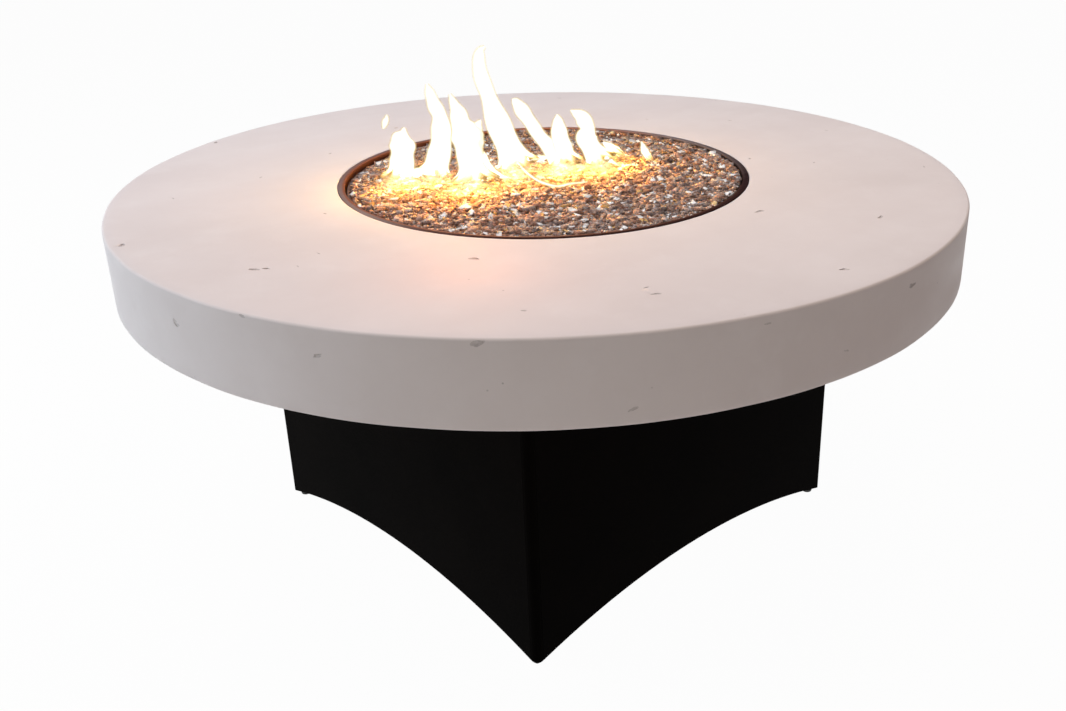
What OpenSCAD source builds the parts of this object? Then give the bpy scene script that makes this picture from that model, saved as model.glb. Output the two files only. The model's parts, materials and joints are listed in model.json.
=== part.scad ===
// Round gas fire pit table: a cast top on a square steel base with arched lower edges,
// a drop-in burner pan filled with fire glass, and the gas train and controls that feed it.
// Millimetres. +Z is up, the origin is on the floor under the centre of the table,
// and the four base panels face +X, -X, +Y and -Y.

/* [Table top] */
// Outer diameter of the cast top
top_d = 1067; // [980:1:1200]
// Height of the table surface above the floor
table_h = 482.6; // [450:0.2:560]
// Height of the apron, from the table surface to its lower edge
apron_h = 92; // [76:1:110]
// Thickness of the slab
slab_t = 28; // [22:1:36]
// Thickness of the apron wall
apron_wall = 28; // [20:1:40]
// Rounding of the upper outer edge
edge_r = 3; // [2:0.5:10]
// Rounding of the lower outer edge
lower_edge_r = 3; // [1.5:0.5:5]
// Diameter of the burner opening at the table surface
opening_d = 530; // [500:1:536]
// Depth of the rebate that the pan lip lies in
rebate_depth = 3; // [2:0.5:5]
// Width of the ledge that carries the pan lip
ledge_w = 6.5; // [5:0.5:9]
// Number of cast ribs under the slab
rib_count = 8; // [4:4:12]
// Thickness of a rib
rib_t = 20; // [12:1:26]
// Height of a rib under the slab
rib_h = 26; // [12:1:34]

/* [Base] */
// Width of the square base across its outer faces
base_w = 551; // [545:1:600]
// Thickness of the panel sheet
panel_t = 3; // [2:0.5:4]
// Rise of the arch in the lower edge of a panel
arch_rise = 42; // [25:1:60]
// Radius of the rounded corner between two panels
corner_r = 10; // [8:0.5:14]
// Length of a corner post's legs, measured from the outer corner
post_leg = 40; // [38:1:60]
// Thickness of a corner post's legs
leg_t = 3; // [2:0.5:4]
// Distance of the screw boss from both outer faces
boss_inset = 14; // [12:0.5:14]
// Radius of the screw boss
boss_r = 8.5; // [8:0.25:9.5]
// Diameter of a foot glide
foot_d = 14; // [12:1:24]
// Height of a foot glide
foot_h = 5; // [3:0.5:8]
// Leg length of a triangular corner plate
plate_leg = 150; // [130:1:160]
// Thickness of a corner plate
plate_t = 4; // [3:0.5:6]
// Thickness of the rubber pads under the top
pad_t = 3; // [3:0.5:5]
// Diameter of a rubber pad
pad_d = 28; // [22:1:32]

/* [Burner pan] */
// Depth of the pan, from the table surface to its floor
pan_depth = 100; // [90:1:110]
// Sheet thickness of the pan
pan_t = 1.5; // [1:0.25:2]
// How far the pan lip stands above the table surface
lip_proud = 0.4; // [0:0.1:2]
// Diameter of the heat shield under the pan
shield_d = 220; // [180:1:240]
// Gap between the pan and the heat shield
shield_gap = 30; // [20:1:36]
// Sheet thickness of the heat shield
shield_t = 1.5; // [1:0.25:3]

/* [Burner] */
// Radius of the outer burner ring, at the middle of its tube
outer_ring_r = 165; // [155:1:180]
// Radius of the inner burner ring, at the middle of its tube
inner_ring_r = 95; // [80:1:105]
// Outer radius of the burner tubes
tube_r = 9.5; // [8:0.25:11]
// Wall thickness of the burner tubes
tube_wall = 1.5; // [1:0.25:2]
// Radius of a gas port
port_r = 1.6; // [1:0.1:2]
// Number of ports in the outer ring
outer_ports = 24; // [24:8:48]
// Number of ports in the inner ring
inner_ports = 24; // [12:12:36]
// Outer radius of the burner's feed pipe
nipple_r = 8; // [7:0.25:9]

/* [Fire glass] */
// Depth of the glass surface below the table surface
glass_drop = 2; // [1:0.5:12]
// Thickness of the glass layer over the lava rock
glass_t = 17; // [14:0.5:20]
// Largest dip between the chips of glass
glass_dip = 3; // [1:0.5:4]
// Height of the low heaps that the glass lies in
glass_heap = 3; // [1:0.5:5]
// Distance between the heaps
heap_apart = 65; // [50:5:90]

/* [Controls] */
// Drop of the controls below the lower edge of the apron
control_drop = 84; // [70:1:110]
// Distance of the knob and the igniter from the middle of the panel
control_y = 45; // [40:1:60]
// Width of the control plate
control_w = 250; // [220:1:270]
// Height of the control plate
control_h = 80; // [70:1:110]
// Thickness of the control plate
control_t = 2; // [1.5:0.25:3]
// Diameter of the knob
knob_d = 44; // [36:1:54]
// Length of the knob
knob_len = 23; // [20:1:30]
// Radius of the valve stem
stem_r = 4; // [3:0.25:5]
// Travel of the igniter button
button_travel = 4; // [3:0.5:5]
// Radius of the igniter button
button_r = 8; // [7:0.25:9]
// Height of the gas inlet above the floor
inlet_z = 170; // [140:1:200]
// Radius of the gas inlet's outer thread
inlet_r = 7.94; // [6:0.01:9]

/* [Access door] */
// Width of the door opening
door_w = 260; // [200:1:320]
// Height of the door opening
door_h = 210; // [160:1:230]
// Height of the lower edge of the door opening above the floor
door_z = 105; // [90:1:130]
// Gap all round the door
door_gap = 2; // [1.5:0.25:3]
// Depth of the door's return flanges
door_flange = 12; // [8:1:16]
// Outer radius of a hinge barrel
barrel_r = 4; // [3.5:0.25:5]
// Radius of a hinge pin
pin_r = 2; // [1.5:0.1:2.2]
// Length of a hinge
hinge_len = 50; // [40:1:70]

/* [Hidden] */
$fn = 96;

// Finishes
concrete = "#e6dedb";
black_steel = "#17130f";
bare_steel = "#9a9a9c";
brass = "#b9975b";

// Clearances
slack = 0.5;          // between pieces that drop in
fit_gap = 0.3;        // between pieces that are only put together
running = 0.06;       // radial, round a turning shaft
screw_gap = 0.25;     // radial, round a screw in a clear hole
snug = 0.05;          // radial, round a fixed piece in its seat
pan_clear = 15;       // between the pan wall and the panels of the base
over = 1;             // how far a cutter reaches past a face

// Heights that the assembly hangs on
top_r = top_d / 2;
half_w = base_w / 2;
deck_z = table_h - slab_t;
apron_z = table_h - apron_h;
plate_z = deck_z - pad_t - plate_t;
pan_floor_z = table_h - pan_depth;        // underside of the pan
pan_bed_z = pan_floor_z + pan_t;
glass_z = table_h - glass_drop;
lava_z = glass_z - glass_t;
burner_z = lava_z - fit_gap - tube_r;
control_z = apron_z - control_drop;

// Burner opening and pan
opening_r = opening_d / 2;
slab_hole_r = opening_r - ledge_w;
pan_r = min(slab_hole_r - 2 * slack, half_w - panel_t - pan_clear);
pan_inner_r = pan_r - pan_t;
lip_r = opening_r - slack;

// Underside of the top
cove = 14;                                // leg of the slope between slab and apron
rib_gap = 12;                             // from the base's corner to a rib

// Corner posts
boss_at = half_w - boss_inset;
boss_bore_r = 4;
plate_screw_len = 30;
plate_screw_head_r = 7;
plate_screw_head_t = 2.4;
foot_stem = 24;
leg_face = half_w - panel_t;              // outer face of a post leg, inner face of a panel
panel_half = half_w - corner_r - slack;   // half length of a panel
arch_r = (half_w * half_w + arch_rise * arch_rise) / (2 * arch_rise);
arch_z = foot_h + arch_rise - arch_r;     // height of the arch's centre
quarters = [0, 1, 2, 3];                  // quarter turns from the front right corner

// Panel studs
stud_r = 2.5;
stud_len = 12;
stud_at = half_w - (boss_inset + boss_r + post_leg) / 2;
stud_low = 60;                            // lowest stud above the foot
stud_high = 40;                           // highest stud below the corner plate
stud_rows = [foot_h + stud_low, (foot_h + plate_z) / 2, plate_z - stud_high];
nut_t = 4;

// Bolts that hold the top
bolt_r = 3;
bolt_head_t = 4;
insert_r = 6;
insert_len = 16;
bolt_along = plate_leg * 0.62;            // from the outer corner, along one side
bolt_inset = 34;                          // from the other outer face
bolt_spots = [[half_w - bolt_inset, half_w - bolt_along], [half_w - bolt_along, half_w - bolt_inset]];

// Feed under the pan
nipple_bore = nipple_r - 2.5;
nipple_drop = 24;
nipple_end = pan_floor_z - nipple_drop;
washer_r = 28;
washer_t = 2.5;
locknut_t = 7;
mixer_r = 13;
mixer_top = pan_floor_z - locknut_t - 5;
mixer_bottom = nipple_end - 22;
hose_r = 7.5;
hose_bore = 5;
elbow_r = 9;
elbow_bore = 5;
elbow_len = 22;
support_r = 4;
shield_stud_r = 5;
shield_stud_at = shield_d / 2 - 16;
shield_z = pan_floor_z - shield_gap - shield_t;

// Spark electrode, in the bed between the two rings on the control side
electrode_x = -(inner_ring_r + outer_ring_r) / 2 - 8;
ceramic_r = 4;
ceramic_len = 34;
ceramic_top = burner_z - 2;
boot_len = 12;
boot_r = 3.4;
bracket_t = 2;
bracket_w = 24;
bracket_reach = 12;                       // from the electrode's axis to the bracket's upright
tab_z = ceramic_top - 14;
lead_r = 1.8;
grommet_r = 6;

// Controls on the left panel, whose outer face is at -half_w
plate_face = -half_w - control_t;         // outer face of the control plate
knob_y = -control_y;
igniter_y = control_y;
bushing_r = 6;
panel_nut_t = 4;
stem_flat = 1.2;                          // depth of the flat that drives the knob
valve_size = 36;
valve_front = -half_w + panel_t + 22;     // front face of the valve block
valve_mid = valve_front + valve_size / 2;
valve_back = valve_front + valve_size;
valve_boss_r = 9;
valve_boss_len = 10;
stem_out = plate_face - panel_nut_t - knob_len * 0.75;
knob_base = plate_face - panel_nut_t - 1;
igniter_wall = 2;
igniter_r = button_r + igniter_wall + running;
bezel_r = igniter_r + 4;
bezel_t = 3;
button_out = 6;                           // how far the button stands out of its bezel
button_len = 17;
spring_len = 10;
battery_r = 5.25;
battery_len = 44.5;
button_back = plate_face - bezel_t - button_out + button_len;
spring_seat = button_back + spring_len;
battery_front = spring_seat + 2;
igniter_back = battery_front + battery_len + 5;
igniter_nut_t = 5;
cutout_h = 2 * (igniter_r + 8);           // window in the panel behind the plate
plate_lap = 12;                           // of the plate's ends on the panel
cutout_w = control_w - 2 * plate_lap;

// Gas inlet and its pipe
inlet_offset = 65;                        // from the knob, along the panel
inlet_y = knob_y - inlet_offset;
inlet_thread = 18;
collar_t = 6;
collar_af = 24;
inlet_inner = 14;                         // length inside the panel
inlet_bore = 4;
pipe_r = 4.5;
pipe_bore = 3;
pipe_bend = 18;
pipe_seat = 8;                            // how far the pipe goes into its sockets

// Door on the rear panel, whose outer face is at +half_w
hinge_x = door_w / 2 - door_gap / 2;
hinge_y = half_w + barrel_r + 0.4;
leaf_t = 1.8;
leaf_w = 26;
hinge_low = door_z + 22;
hinge_high = door_z + door_h - 22 - hinge_len;
hinge_spots = [hinge_low, hinge_high];
knuckle = hinge_len / 3;
flange_t = 2;
flange_edge = 4;                          // from the door's edge to its flange
pull_x = -door_w / 2 + 28;
pull_z = door_z + door_h / 2;

// Flames of the lit burner: [x, y, height, lean in x, lean in y, half width]
flame_list = [
  [-130, -138,   66,    7,   7,  16],
  [-109, -100,  119,    0,  -1,  15],
  [ -53,  -78,  111,  -17, -17,  19],
  [ -62,    2,  159,  -26, -25,  18],
  [ -33,   56,   88,  -44, -45,  11],
  [ -59,   86,   69,   -7,  -8,  14],
  [   6,   93,   73,  -28, -28,  14],
  [   4,  141,   22,  -22, -22,   7],
  [  47,  152,   27,  -13, -12,   6]];

// Shared shapes

// Cuts the corner of a profile at the origin to a round of radius r; the profile lies towards -x, -y.
module corner_cut(r) {
  translate([-r, -r]) difference() {
    square(r + over);
    circle(r);
  }
}

// A hexagonal prism across flats af along +Z.
module hex(af, h) {
  cylinder(r = af / sqrt(3), h = h, $fn = 6);
}

// A nut with a clear bore, along +Z.
module nut(af, h, bore) {
  difference() {
    hex(af, h);
    translate([0, 0, -over]) cylinder(r = bore, h = h + 2 * over);
  }
}

// A tube along +Z.
module tube(r, bore, h) {
  difference() {
    cylinder(r = r, h = h);
    translate([0, 0, -over]) cylinder(r = bore, h = h + 2 * over);
  }
}

// Lays +Z along +X, +Y or -X.
module along_x() { rotate([0, 90, 0]) children(); }
module along_y() { rotate([-90, 0, 0]) children(); }
module along_minus_x() { rotate([0, -90, 0]) children(); }

// Copies to the four corners by quarter turns. The child is drawn at the front right corner.
module at_corners() {
  for (q = quarters) rotate(90 * q) children();
}

// The arch through a panel that faces -Y, as a cutter from the outside to depth d.
module arch_cutter(d) {
  translate([0, -half_w - over, arch_z]) along_y() cylinder(r = arch_r, h = d + over, $fn = 360);
}

// Points and faces of a tube of n sides swept along a list of points, with one radius per ring.
function unit(v) = v / norm(v);
function heading(p, i) =
  unit(p[min(i + 1, len(p) - 1)] - p[max(i - 1, 0)]);
function side_of(t) = abs(t[2]) > 0.9 ? unit(cross(t, [1, 0, 0])) : unit(cross(t, [0, 0, 1]));
function ring(p, i, r, n) =
  let (t = heading(p, i), a = side_of(t), b = cross(t, a))
  [for (k = [0 : n - 1]) p[i] + r * (cos(360 * k / n) * a + sin(360 * k / n) * b)];
function sweep_faces(rings, n) = concat(
  [for (i = [0 : rings - 2], k = [0 : n - 1], h = [0, 1])
    let (a = i * n + k, b = i * n + (k + 1) % n)
    h == 0 ? [a, b, b + n] : [a, b + n, a + n]],
  [for (k = [1 : n - 2]) [0, k + 1, k]],
  [for (k = [1 : n - 2]) let (e = (rings - 1) * n) [e, e + k, e + k + 1]]);

// Faces of a hollow tube whose outer rings come first and whose bore rings follow.
function hollow_faces(rings, n) = let (m = rings * n) concat(
  [for (i = [0 : rings - 2], k = [0 : n - 1], h = [0, 1])
    let (a = i * n + k, b = i * n + (k + 1) % n)
    h == 0 ? [a, b, b + n] : [a, b + n, a + n]],
  [for (i = [0 : rings - 2], k = [0 : n - 1], h = [0, 1])
    let (a = m + i * n + k, b = m + i * n + (k + 1) % n)
    h == 0 ? [a, b + n, b] : [a, a + n, b + n]],
  [for (k = [0 : n - 1], h = [0, 1]) let (j = (k + 1) % n)
    h == 0 ? [k, m + j, j] : [k, m + k, m + j]],
  [for (k = [0 : n - 1], h = [0, 1]) let (e = m - n, j = (k + 1) % n)
    h == 0 ? [e + k, e + j, m + e + j] : [e + k, m + e + j, m + e + k]]);

// A smooth curve through points, with a few steps between each two.
function curve(p, steps) = concat(
  [for (i = [0 : len(p) - 2], s = [0 : steps - 1])
    let (t = s / steps, a = p[max(i - 1, 0)], b = p[i], c = p[i + 1], d = p[min(i + 2, len(p) - 1)])
    0.5 * (2 * b + (c - a) * t + (2 * a - 5 * b + 4 * c - d) * t * t + (3 * b - a - 3 * c + d) * t * t * t)],
  [p[len(p) - 1]]);

// A smooth step from 0 to 1.
function ease(t) = let (c = min(1, max(0, t))) c * c * c * (c * (6 * c - 15) + 10);

// Repeatable scatter between 0 and 1.
function scatter(i, j) = let (v = sin(i * 127.1 + j * 311.7) * 4375.85) v - floor(v);

// Table top

module top_profile() {
  difference() {
    union() {
      translate([slab_hole_r, deck_z]) square([top_r - slab_hole_r, slab_t]);
      translate([top_r - apron_wall, apron_z]) square([apron_wall, apron_h]);
      translate([top_r - apron_wall, deck_z])
        polygon([[over, over], [-cove, over], [-cove, 0], [0, -cove], [over, -cove]]);
    }
    translate([slab_hole_r - over, table_h - rebate_depth]) square([ledge_w + over, rebate_depth + over]);
    translate([top_r, table_h]) corner_cut(edge_r);
    translate([top_r, apron_z]) mirror([0, 1]) corner_cut(lower_edge_r);
  }
}

// Stiffening ribs between the corners of the base and the apron.
module ribs() {
  rib_start = half_w * sqrt(2) + rib_gap;
  for (i = [0 : rib_count - 1]) rotate(360 / rib_count * (i + 0.5))
    translate([rib_start, -rib_t / 2, deck_z - rib_h])
      cube([top_r - apron_wall + over - rib_start, rib_t, rib_h + over]);
}

module table_top() color(concrete) {
  difference() {
    union() {
      rotate_extrude($fn = 240) top_profile();
      ribs();
    }
    at_bolts() translate([0, 0, deck_z - over])
      cylinder(r = insert_r + snug, h = insert_len + 2 * over, $fn = 32);
  }
}

// Copies to the eight bolts that hold the top.
module at_bolts() {
  for (q = quarters, s = bolt_spots) rotate(90 * (q - 1)) translate(s) children();
}

module top_inserts() color(brass) {
  at_bolts() translate([0, 0, deck_z]) tube(insert_r, bolt_r + snug, insert_len, $fn = 32);
}

module top_pads() color("#22201f") {
  at_bolts() translate([0, 0, deck_z - pad_t]) tube(pad_d / 2, bolt_r + screw_gap, pad_t, $fn = 48);
}

module top_bolts() color(bare_steel) {
  at_bolts() {
    translate([0, 0, plate_z - bolt_head_t]) hex(10, bolt_head_t);
    translate([0, 0, plate_z - bolt_head_t / 2])
      cylinder(r = bolt_r, h = deck_z + insert_len - 2 - plate_z, $fn = 32);
  }
}

// Base

// A triangular plate in the corner of the base, on top of the post. Drawn at +X +Y.
module corner_plate(q) {
  c = leg_face - slack;
  tip = 12;
  rotate(90 * (q - 1)) translate([0, 0, plate_z]) difference() {
    linear_extrude(plate_t) polygon([[c, c], [c - plate_leg + tip, c], [c - plate_leg + tip, c - tip],
      [c - tip, c - plate_leg + tip], [c, c - plate_leg + tip]]);
    for (s = bolt_spots) translate([s[0], s[1], -over])
      cylinder(r = bolt_r + screw_gap, h = plate_t + 2 * over, $fn = 32);
    translate([boss_at, boss_at, -over])
      cylinder(r = boss_bore_r + screw_gap, h = plate_t + 2 * over, $fn = 32);
  }
}
module corner_plate_front_right() color(black_steel) corner_plate(0);
module corner_plate_rear_right() color(black_steel) corner_plate(1);
module corner_plate_rear_left() color(black_steel) corner_plate(2);
module corner_plate_front_left() color(black_steel) corner_plate(3);

module plate_screws() color(bare_steel) {
  for (q = quarters) rotate(90 * (q - 1)) translate([boss_at, boss_at, plate_z + plate_t]) {
    cylinder(r = plate_screw_head_r, h = plate_screw_head_t, $fn = 48);
    translate([0, 0, -plate_screw_len])
      cylinder(r = boss_bore_r - snug, h = plate_screw_len + plate_screw_head_t / 2, $fn = 32);
  }
}

// Section of a corner post: the rounded corner and the two legs behind the panels. Drawn at +X +Y.
module post_section() {
  leg_span = post_leg - corner_r + 2;
  translate([half_w - corner_r, half_w - corner_r]) intersection() {
    circle(corner_r);
    square(corner_r + over);
  }
  translate([leg_face - leg_t, half_w - post_leg]) square([leg_t, leg_span]);
  translate([half_w - post_leg, leg_face - leg_t]) square([leg_span, leg_t]);
}

module corner_post(q) {
  h = plate_z - foot_h;
  rotate(90 * (q - 1)) difference() {
    union() {
      difference() {
        translate([0, 0, foot_h]) linear_extrude(h) post_section();
        translate([0, 0, arch_z]) {
          along_y() cylinder(r = arch_r, h = half_w + over, $fn = 360);
          along_x() cylinder(r = arch_r, h = half_w + over, $fn = 360);
        }
      }
      translate([boss_at, boss_at, foot_h]) cylinder(r = boss_r, h = h, $fn = 48);
    }
    translate([boss_at, boss_at, foot_h - over]) cylinder(r = boss_bore_r, h = h + 2 * over, $fn = 32);
    for (z = stud_rows) {
      translate([stud_at, leg_face - leg_t - over, z]) along_y()
        cylinder(r = stud_r + screw_gap, h = leg_t + 2 * over, $fn = 32);
      translate([leg_face - leg_t - over, stud_at, z]) along_x()
        cylinder(r = stud_r + screw_gap, h = leg_t + 2 * over, $fn = 32);
    }
  }
}
module corner_post_front_right() color(black_steel) corner_post(0);
module corner_post_rear_right() color(black_steel) corner_post(1);
module corner_post_rear_left() color(black_steel) corner_post(2);
module corner_post_front_left() color(black_steel) corner_post(3);

// A glide whose stem goes up into the post.
module foot(q) {
  rotate(90 * (q - 1)) translate([boss_at, boss_at, 0]) {
    rotate_extrude($fn = 64) difference() {
      square([foot_d / 2, foot_h]);
      translate([foot_d / 2, 0]) mirror([0, 1]) corner_cut(1.5);
    }
    translate([0, 0, foot_h / 2]) cylinder(r = boss_bore_r - snug, h = foot_stem + foot_h / 2, $fn = 32);
  }
}
module foot_front_right() color("#1d1c1b") foot(0);
module foot_rear_right() color("#1d1c1b") foot(1);
module foot_rear_left() color("#1d1c1b") foot(2);
module foot_front_left() color("#1d1c1b") foot(3);

// A panel that faces -Y, with its arch and what the children cut out of it.
module panel() {
  difference() {
    translate([-panel_half, -half_w, foot_h]) cube([2 * panel_half, panel_t, plate_z + plate_t - foot_h]);
    arch_cutter(panel_t + 2 * over);
    children();
  }
}
module front_panel() color(black_steel) panel();
module right_panel() color(black_steel) rotate(90) panel();

// The rear panel has the door opening.
module rear_panel() color(black_steel) rotate(180) panel()
  translate([-door_w / 2, -half_w - over, door_z]) cube([door_w, panel_t + 2 * over, door_h]);

// The left panel has a window behind the control plate, the plate's four screw holes and the gas inlet.
module left_panel() color(black_steel) rotate(270) panel() {
  translate([-cutout_w / 2, -half_w - over, control_z - cutout_h / 2])
    cube([cutout_w, panel_t + 2 * over, cutout_h]);
  for (u = [-1, 1], v = [-1, 1])
    translate([u * (control_w / 2 - 8), -half_w - over, control_z + v * (control_h / 2 - 8)]) along_y()
      cylinder(r = 2 + screw_gap, h = panel_t + 2 * over, $fn = 32);
  translate([-inlet_y, -half_w - over, inlet_z]) along_y()
    cylinder(r = inlet_r + screw_gap, h = panel_t + 2 * over, $fn = 48);
}

// Studs welded to the back of the panels, which hold them to the posts.
module panel_studs() color(bare_steel) {
  for (q = quarters, s = [-1, 1], z = stud_rows) rotate(90 * q)
    translate([s * stud_at, -leg_face, z]) along_y() cylinder(r = stud_r, h = stud_len, $fn = 32);
}

module panel_nuts() color(bare_steel) {
  for (q = quarters, s = [-1, 1], z = stud_rows) rotate(90 * q)
    translate([s * stud_at, -leg_face + leg_t, z]) along_y() nut(8, nut_t, stud_r + snug, $fn = 32);
}

// Burner pan and what hangs on it

module pan_profile() {
  difference() {
    union() {
      translate([0, pan_floor_z]) square([pan_r, pan_t]);
      translate([pan_inner_r, pan_floor_z]) square([pan_t, table_h + lip_proud - pan_floor_z]);
      translate([pan_inner_r, table_h - rebate_depth])
        square([lip_r - pan_inner_r, rebate_depth + lip_proud]);
    }
    translate([lip_r, table_h + lip_proud]) corner_cut(1.2);
    translate([pan_inner_r, table_h + lip_proud]) mirror([1, 0]) corner_cut(1.2);
  }
}

// Copies to the four studs under the pan.
module at_shield_studs() {
  for (q = quarters) rotate(45 + 90 * q) translate([shield_stud_at, 0, 0]) children();
}

module burner_pan() color("#5c564f") {
  difference() {
    union() {
      rotate_extrude($fn = 180) pan_profile();
      at_shield_studs() {
        translate([0, 0, shield_z + shield_t])
          cylinder(r = shield_stud_r, h = pan_floor_z - shield_z - shield_t + pan_t / 2, $fn = 32);
        translate([0, 0, shield_z - 8]) cylinder(r = 3, h = 10 + shield_t, $fn = 32);
      }
    }
    translate([0, 0, pan_floor_z - over]) {
      cylinder(r = nipple_r + fit_gap, h = pan_t + 2 * over, $fn = 48);
      translate([electrode_x, 0, 0]) cylinder(r = grommet_r - 1.5, h = pan_t + 2 * over, $fn = 32);
      for (i = [0 : 7]) rotate(45 * i + 22.5) translate([pan_inner_r - 38, 0, 0])
        cylinder(r = 4, h = pan_t + 2 * over, $fn = 32);
    }
  }
}

// The outside or, with less = tube_wall, the inside of the burner's two rings and four arms, at height 0.
module burner_tubes(less) {
  for (r = [outer_ring_r, inner_ring_r]) rotate_extrude($fn = 120)
    translate([r, 0]) circle(tube_r - less, $fn = 36);
  for (q = quarters) rotate(45 + 90 * q) along_x()
    cylinder(r = tube_r - 1.5 - less, h = outer_ring_r, $fn = 36);
}

// A row of ports in the top of a ring.
module ports(count, ring_r) {
  for (i = [0 : count - 1]) rotate(360 / count * (i + 0.5)) translate([ring_r, 0, 0])
    cylinder(r = port_r, h = tube_r + over, $fn = 16);
}

module burner() color("#8d8a86") {
  feed = burner_z - nipple_end;
  collar = burner_z - pan_bed_z - washer_t;
  translate([0, 0, burner_z]) difference() {
    union() {
      burner_tubes(0);
      translate([0, 0, -tube_r]) cylinder(r = 2 * nipple_r, h = 2 * tube_r, $fn = 64);
      translate([0, 0, -feed]) cylinder(r = nipple_r, h = feed, $fn = 48);
      translate([0, 0, -collar]) cylinder(r = nipple_r + 6, h = 5, $fn = 48);
    }
    burner_tubes(tube_wall);
    translate([0, 0, 2 - tube_r]) cylinder(r = 2 * nipple_r - 3, h = 2 * tube_r - 4, $fn = 64);
    translate([0, 0, -feed - over]) cylinder(r = nipple_bore, h = feed + over, $fn = 48);
    ports(outer_ports, outer_ring_r);
    ports(inner_ports, inner_ring_r);
  }
}

// Copies to the four supports under the outer ring.
module at_supports() {
  for (q = quarters) rotate(20 + 90 * q) translate([outer_ring_r, 0, 0]) children();
}

module burner_supports() color(bare_steel) {
  at_supports() translate([0, 0, pan_bed_z])
    cylinder(r = support_r, h = burner_z - tube_r - snug - pan_bed_z, $fn = 32);
}

module burner_washer() color(bare_steel) {
  translate([0, 0, pan_bed_z]) tube(washer_r, nipple_r + fit_gap, washer_t, $fn = 64);
}

module burner_locknut() color(brass) {
  translate([0, 0, pan_floor_z - locknut_t]) nut(30, locknut_t, nipple_r + snug, $fn = 48);
}

// The mixer takes the feed pipe from above and the orifice from below; air comes in through four windows.
module air_mixer() color(brass) {
  window_z = mixer_bottom + 9;
  window_h = nipple_end - 3 - window_z;
  difference() {
    translate([0, 0, mixer_bottom]) cylinder(r = mixer_r, h = mixer_top - mixer_bottom, $fn = 64);
    translate([0, 0, nipple_end - fit_gap])
      cylinder(r = nipple_r + snug, h = mixer_top - nipple_end + over, $fn = 48);
    translate([0, 0, mixer_bottom - over]) cylinder(r = 6, h = nipple_end - mixer_bottom + over, $fn = 48);
    for (q = quarters) rotate(90 * q) translate([3, -4, window_z]) cube([mixer_r, 8, window_h]);
  }
}

module mixer_elbow() color(brass) {
  difference() {
    union() {
      translate([0, 0, control_z]) {
        cylinder(r = elbow_r, h = mixer_bottom - control_z, $fn = 48);
        sphere(r = elbow_r, $fn = 48);
        along_minus_x() cylinder(r = elbow_r, h = elbow_len, $fn = 48);
        along_minus_x() cylinder(r = hose_bore - snug, h = elbow_len + 14, $fn = 48);
      }
      translate([0, 0, mixer_bottom - over]) cylinder(r = 6 - snug, h = 6 + over, $fn = 48);
    }
    translate([0, 0, control_z]) {
      cylinder(r = 4, h = mixer_bottom - control_z + 3, $fn = 32);
      along_minus_x() cylinder(r = 3.4, h = elbow_len + 14 + over, $fn = 32);
      cylinder(r = 1.2, h = mixer_bottom - control_z + 6 + over, $fn = 24);
    }
  }
}

module lava_rock_bed() color("#3a3431") {
  r = pan_inner_r - slack;
  difference() {
    translate([0, 0, pan_bed_z]) cylinder(r = r, h = lava_z - pan_bed_z, $fn = 180);
    rotate_extrude($fn = 120) for (at = [outer_ring_r, inner_ring_r]) translate([at, burner_z]) {
      circle(tube_r + fit_gap, $fn = 36);
      translate([-tube_r - fit_gap, 0]) square([2 * (tube_r + fit_gap), lava_z - burner_z + over]);
    }
    for (q = quarters) rotate(45 + 90 * q) translate([0, 0, burner_z]) {
      arm_r = tube_r - 1.5 + fit_gap;
      along_x() cylinder(r = arm_r, h = outer_ring_r, $fn = 36);
      translate([0, -arm_r, 0]) cube([outer_ring_r, 2 * arm_r, lava_z - burner_z + over]);
    }
    translate([0, 0, pan_bed_z - over]) {
      cylinder(r = washer_r + slack, h = washer_t + 6 + over, $fn = 64);
      cylinder(r = nipple_r + slack, h = lava_z - pan_bed_z + 2 * over, $fn = 48);
    }
    translate([0, 0, burner_z - tube_r - slack])
      cylinder(r = 2 * nipple_r + slack, h = lava_z - burner_z + tube_r + slack + over, $fn = 64);
    at_supports() translate([0, 0, pan_bed_z - over])
      cylinder(r = support_r + fit_gap, h = burner_z - pan_bed_z, $fn = 32);
    translate([electrode_x - 16, -bracket_w / 2 - 3, pan_bed_z - over])
      cube([16 + bracket_reach + 24, bracket_w + 6, lava_z - pan_bed_z + 2 * over]);
  }
}

// Dip of the glass at a point: low heaps and a chip's own dip, and none under a flame.
function dip_at(x, y, chip) = min([for (f = flame_list) norm([x - f[0], y - f[1]]) - f[5]]) < 16 ? 0
  : glass_dip * chip + glass_heap / 2 * (1 - cos(360 * x / heap_apart) * cos(360 * y / heap_apart));

// The glass layer: a disc whose upper side is broken up like loose chips.
module fire_glass() color("#7d6a58") {
  r = pan_inner_r - slack;
  rings = 17;
  n = 84;
  points = concat(
    [for (k = [0 : n - 1]) [r * cos(360 * k / n), r * sin(360 * k / n), lava_z]],
    [for (i = [rings : -1 : 1], k = [0 : n - 1])
      let (a = 360 / n * (k + (i % 2) * 0.5 * (i == rings ? 0 : 1)), q = r * i / rings)
      [q * cos(a), q * sin(a),
        glass_z - (i == rings ? glass_dip : dip_at(q * cos(a), q * sin(a), scatter(i, k)))]],
    [[0, 0, glass_z]]);
  top = (rings + 1) * n;
  faces = concat(
    [[for (k = [0 : n - 1]) k]],
    [for (i = [0 : rings - 1], k = [0 : n - 1], h = [0, 1])
      let (a = i * n + k, b = i * n + (k + 1) % n)
      h == 0 ? [a, b + n, b] : [a, a + n, b + n]],
    [for (k = [0 : n - 1]) [rings * n + k, top, rings * n + (k + 1) % n]]);
  polyhedron(points, faces, convexity = 4);
}

// Width and middle line of a flame at the fraction t of its height.
function flame_spread(t) = pow(1 - t, 0.75) * (0.8 + 0.55 * sin(180 * pow(t, 0.7)));
function flame_middle(f, t) =
  [f[0] + f[3] * pow(t, 1.4), f[1] + f[4] * pow(t, 1.4), glass_z + fit_gap + f[2] * t];

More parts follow.
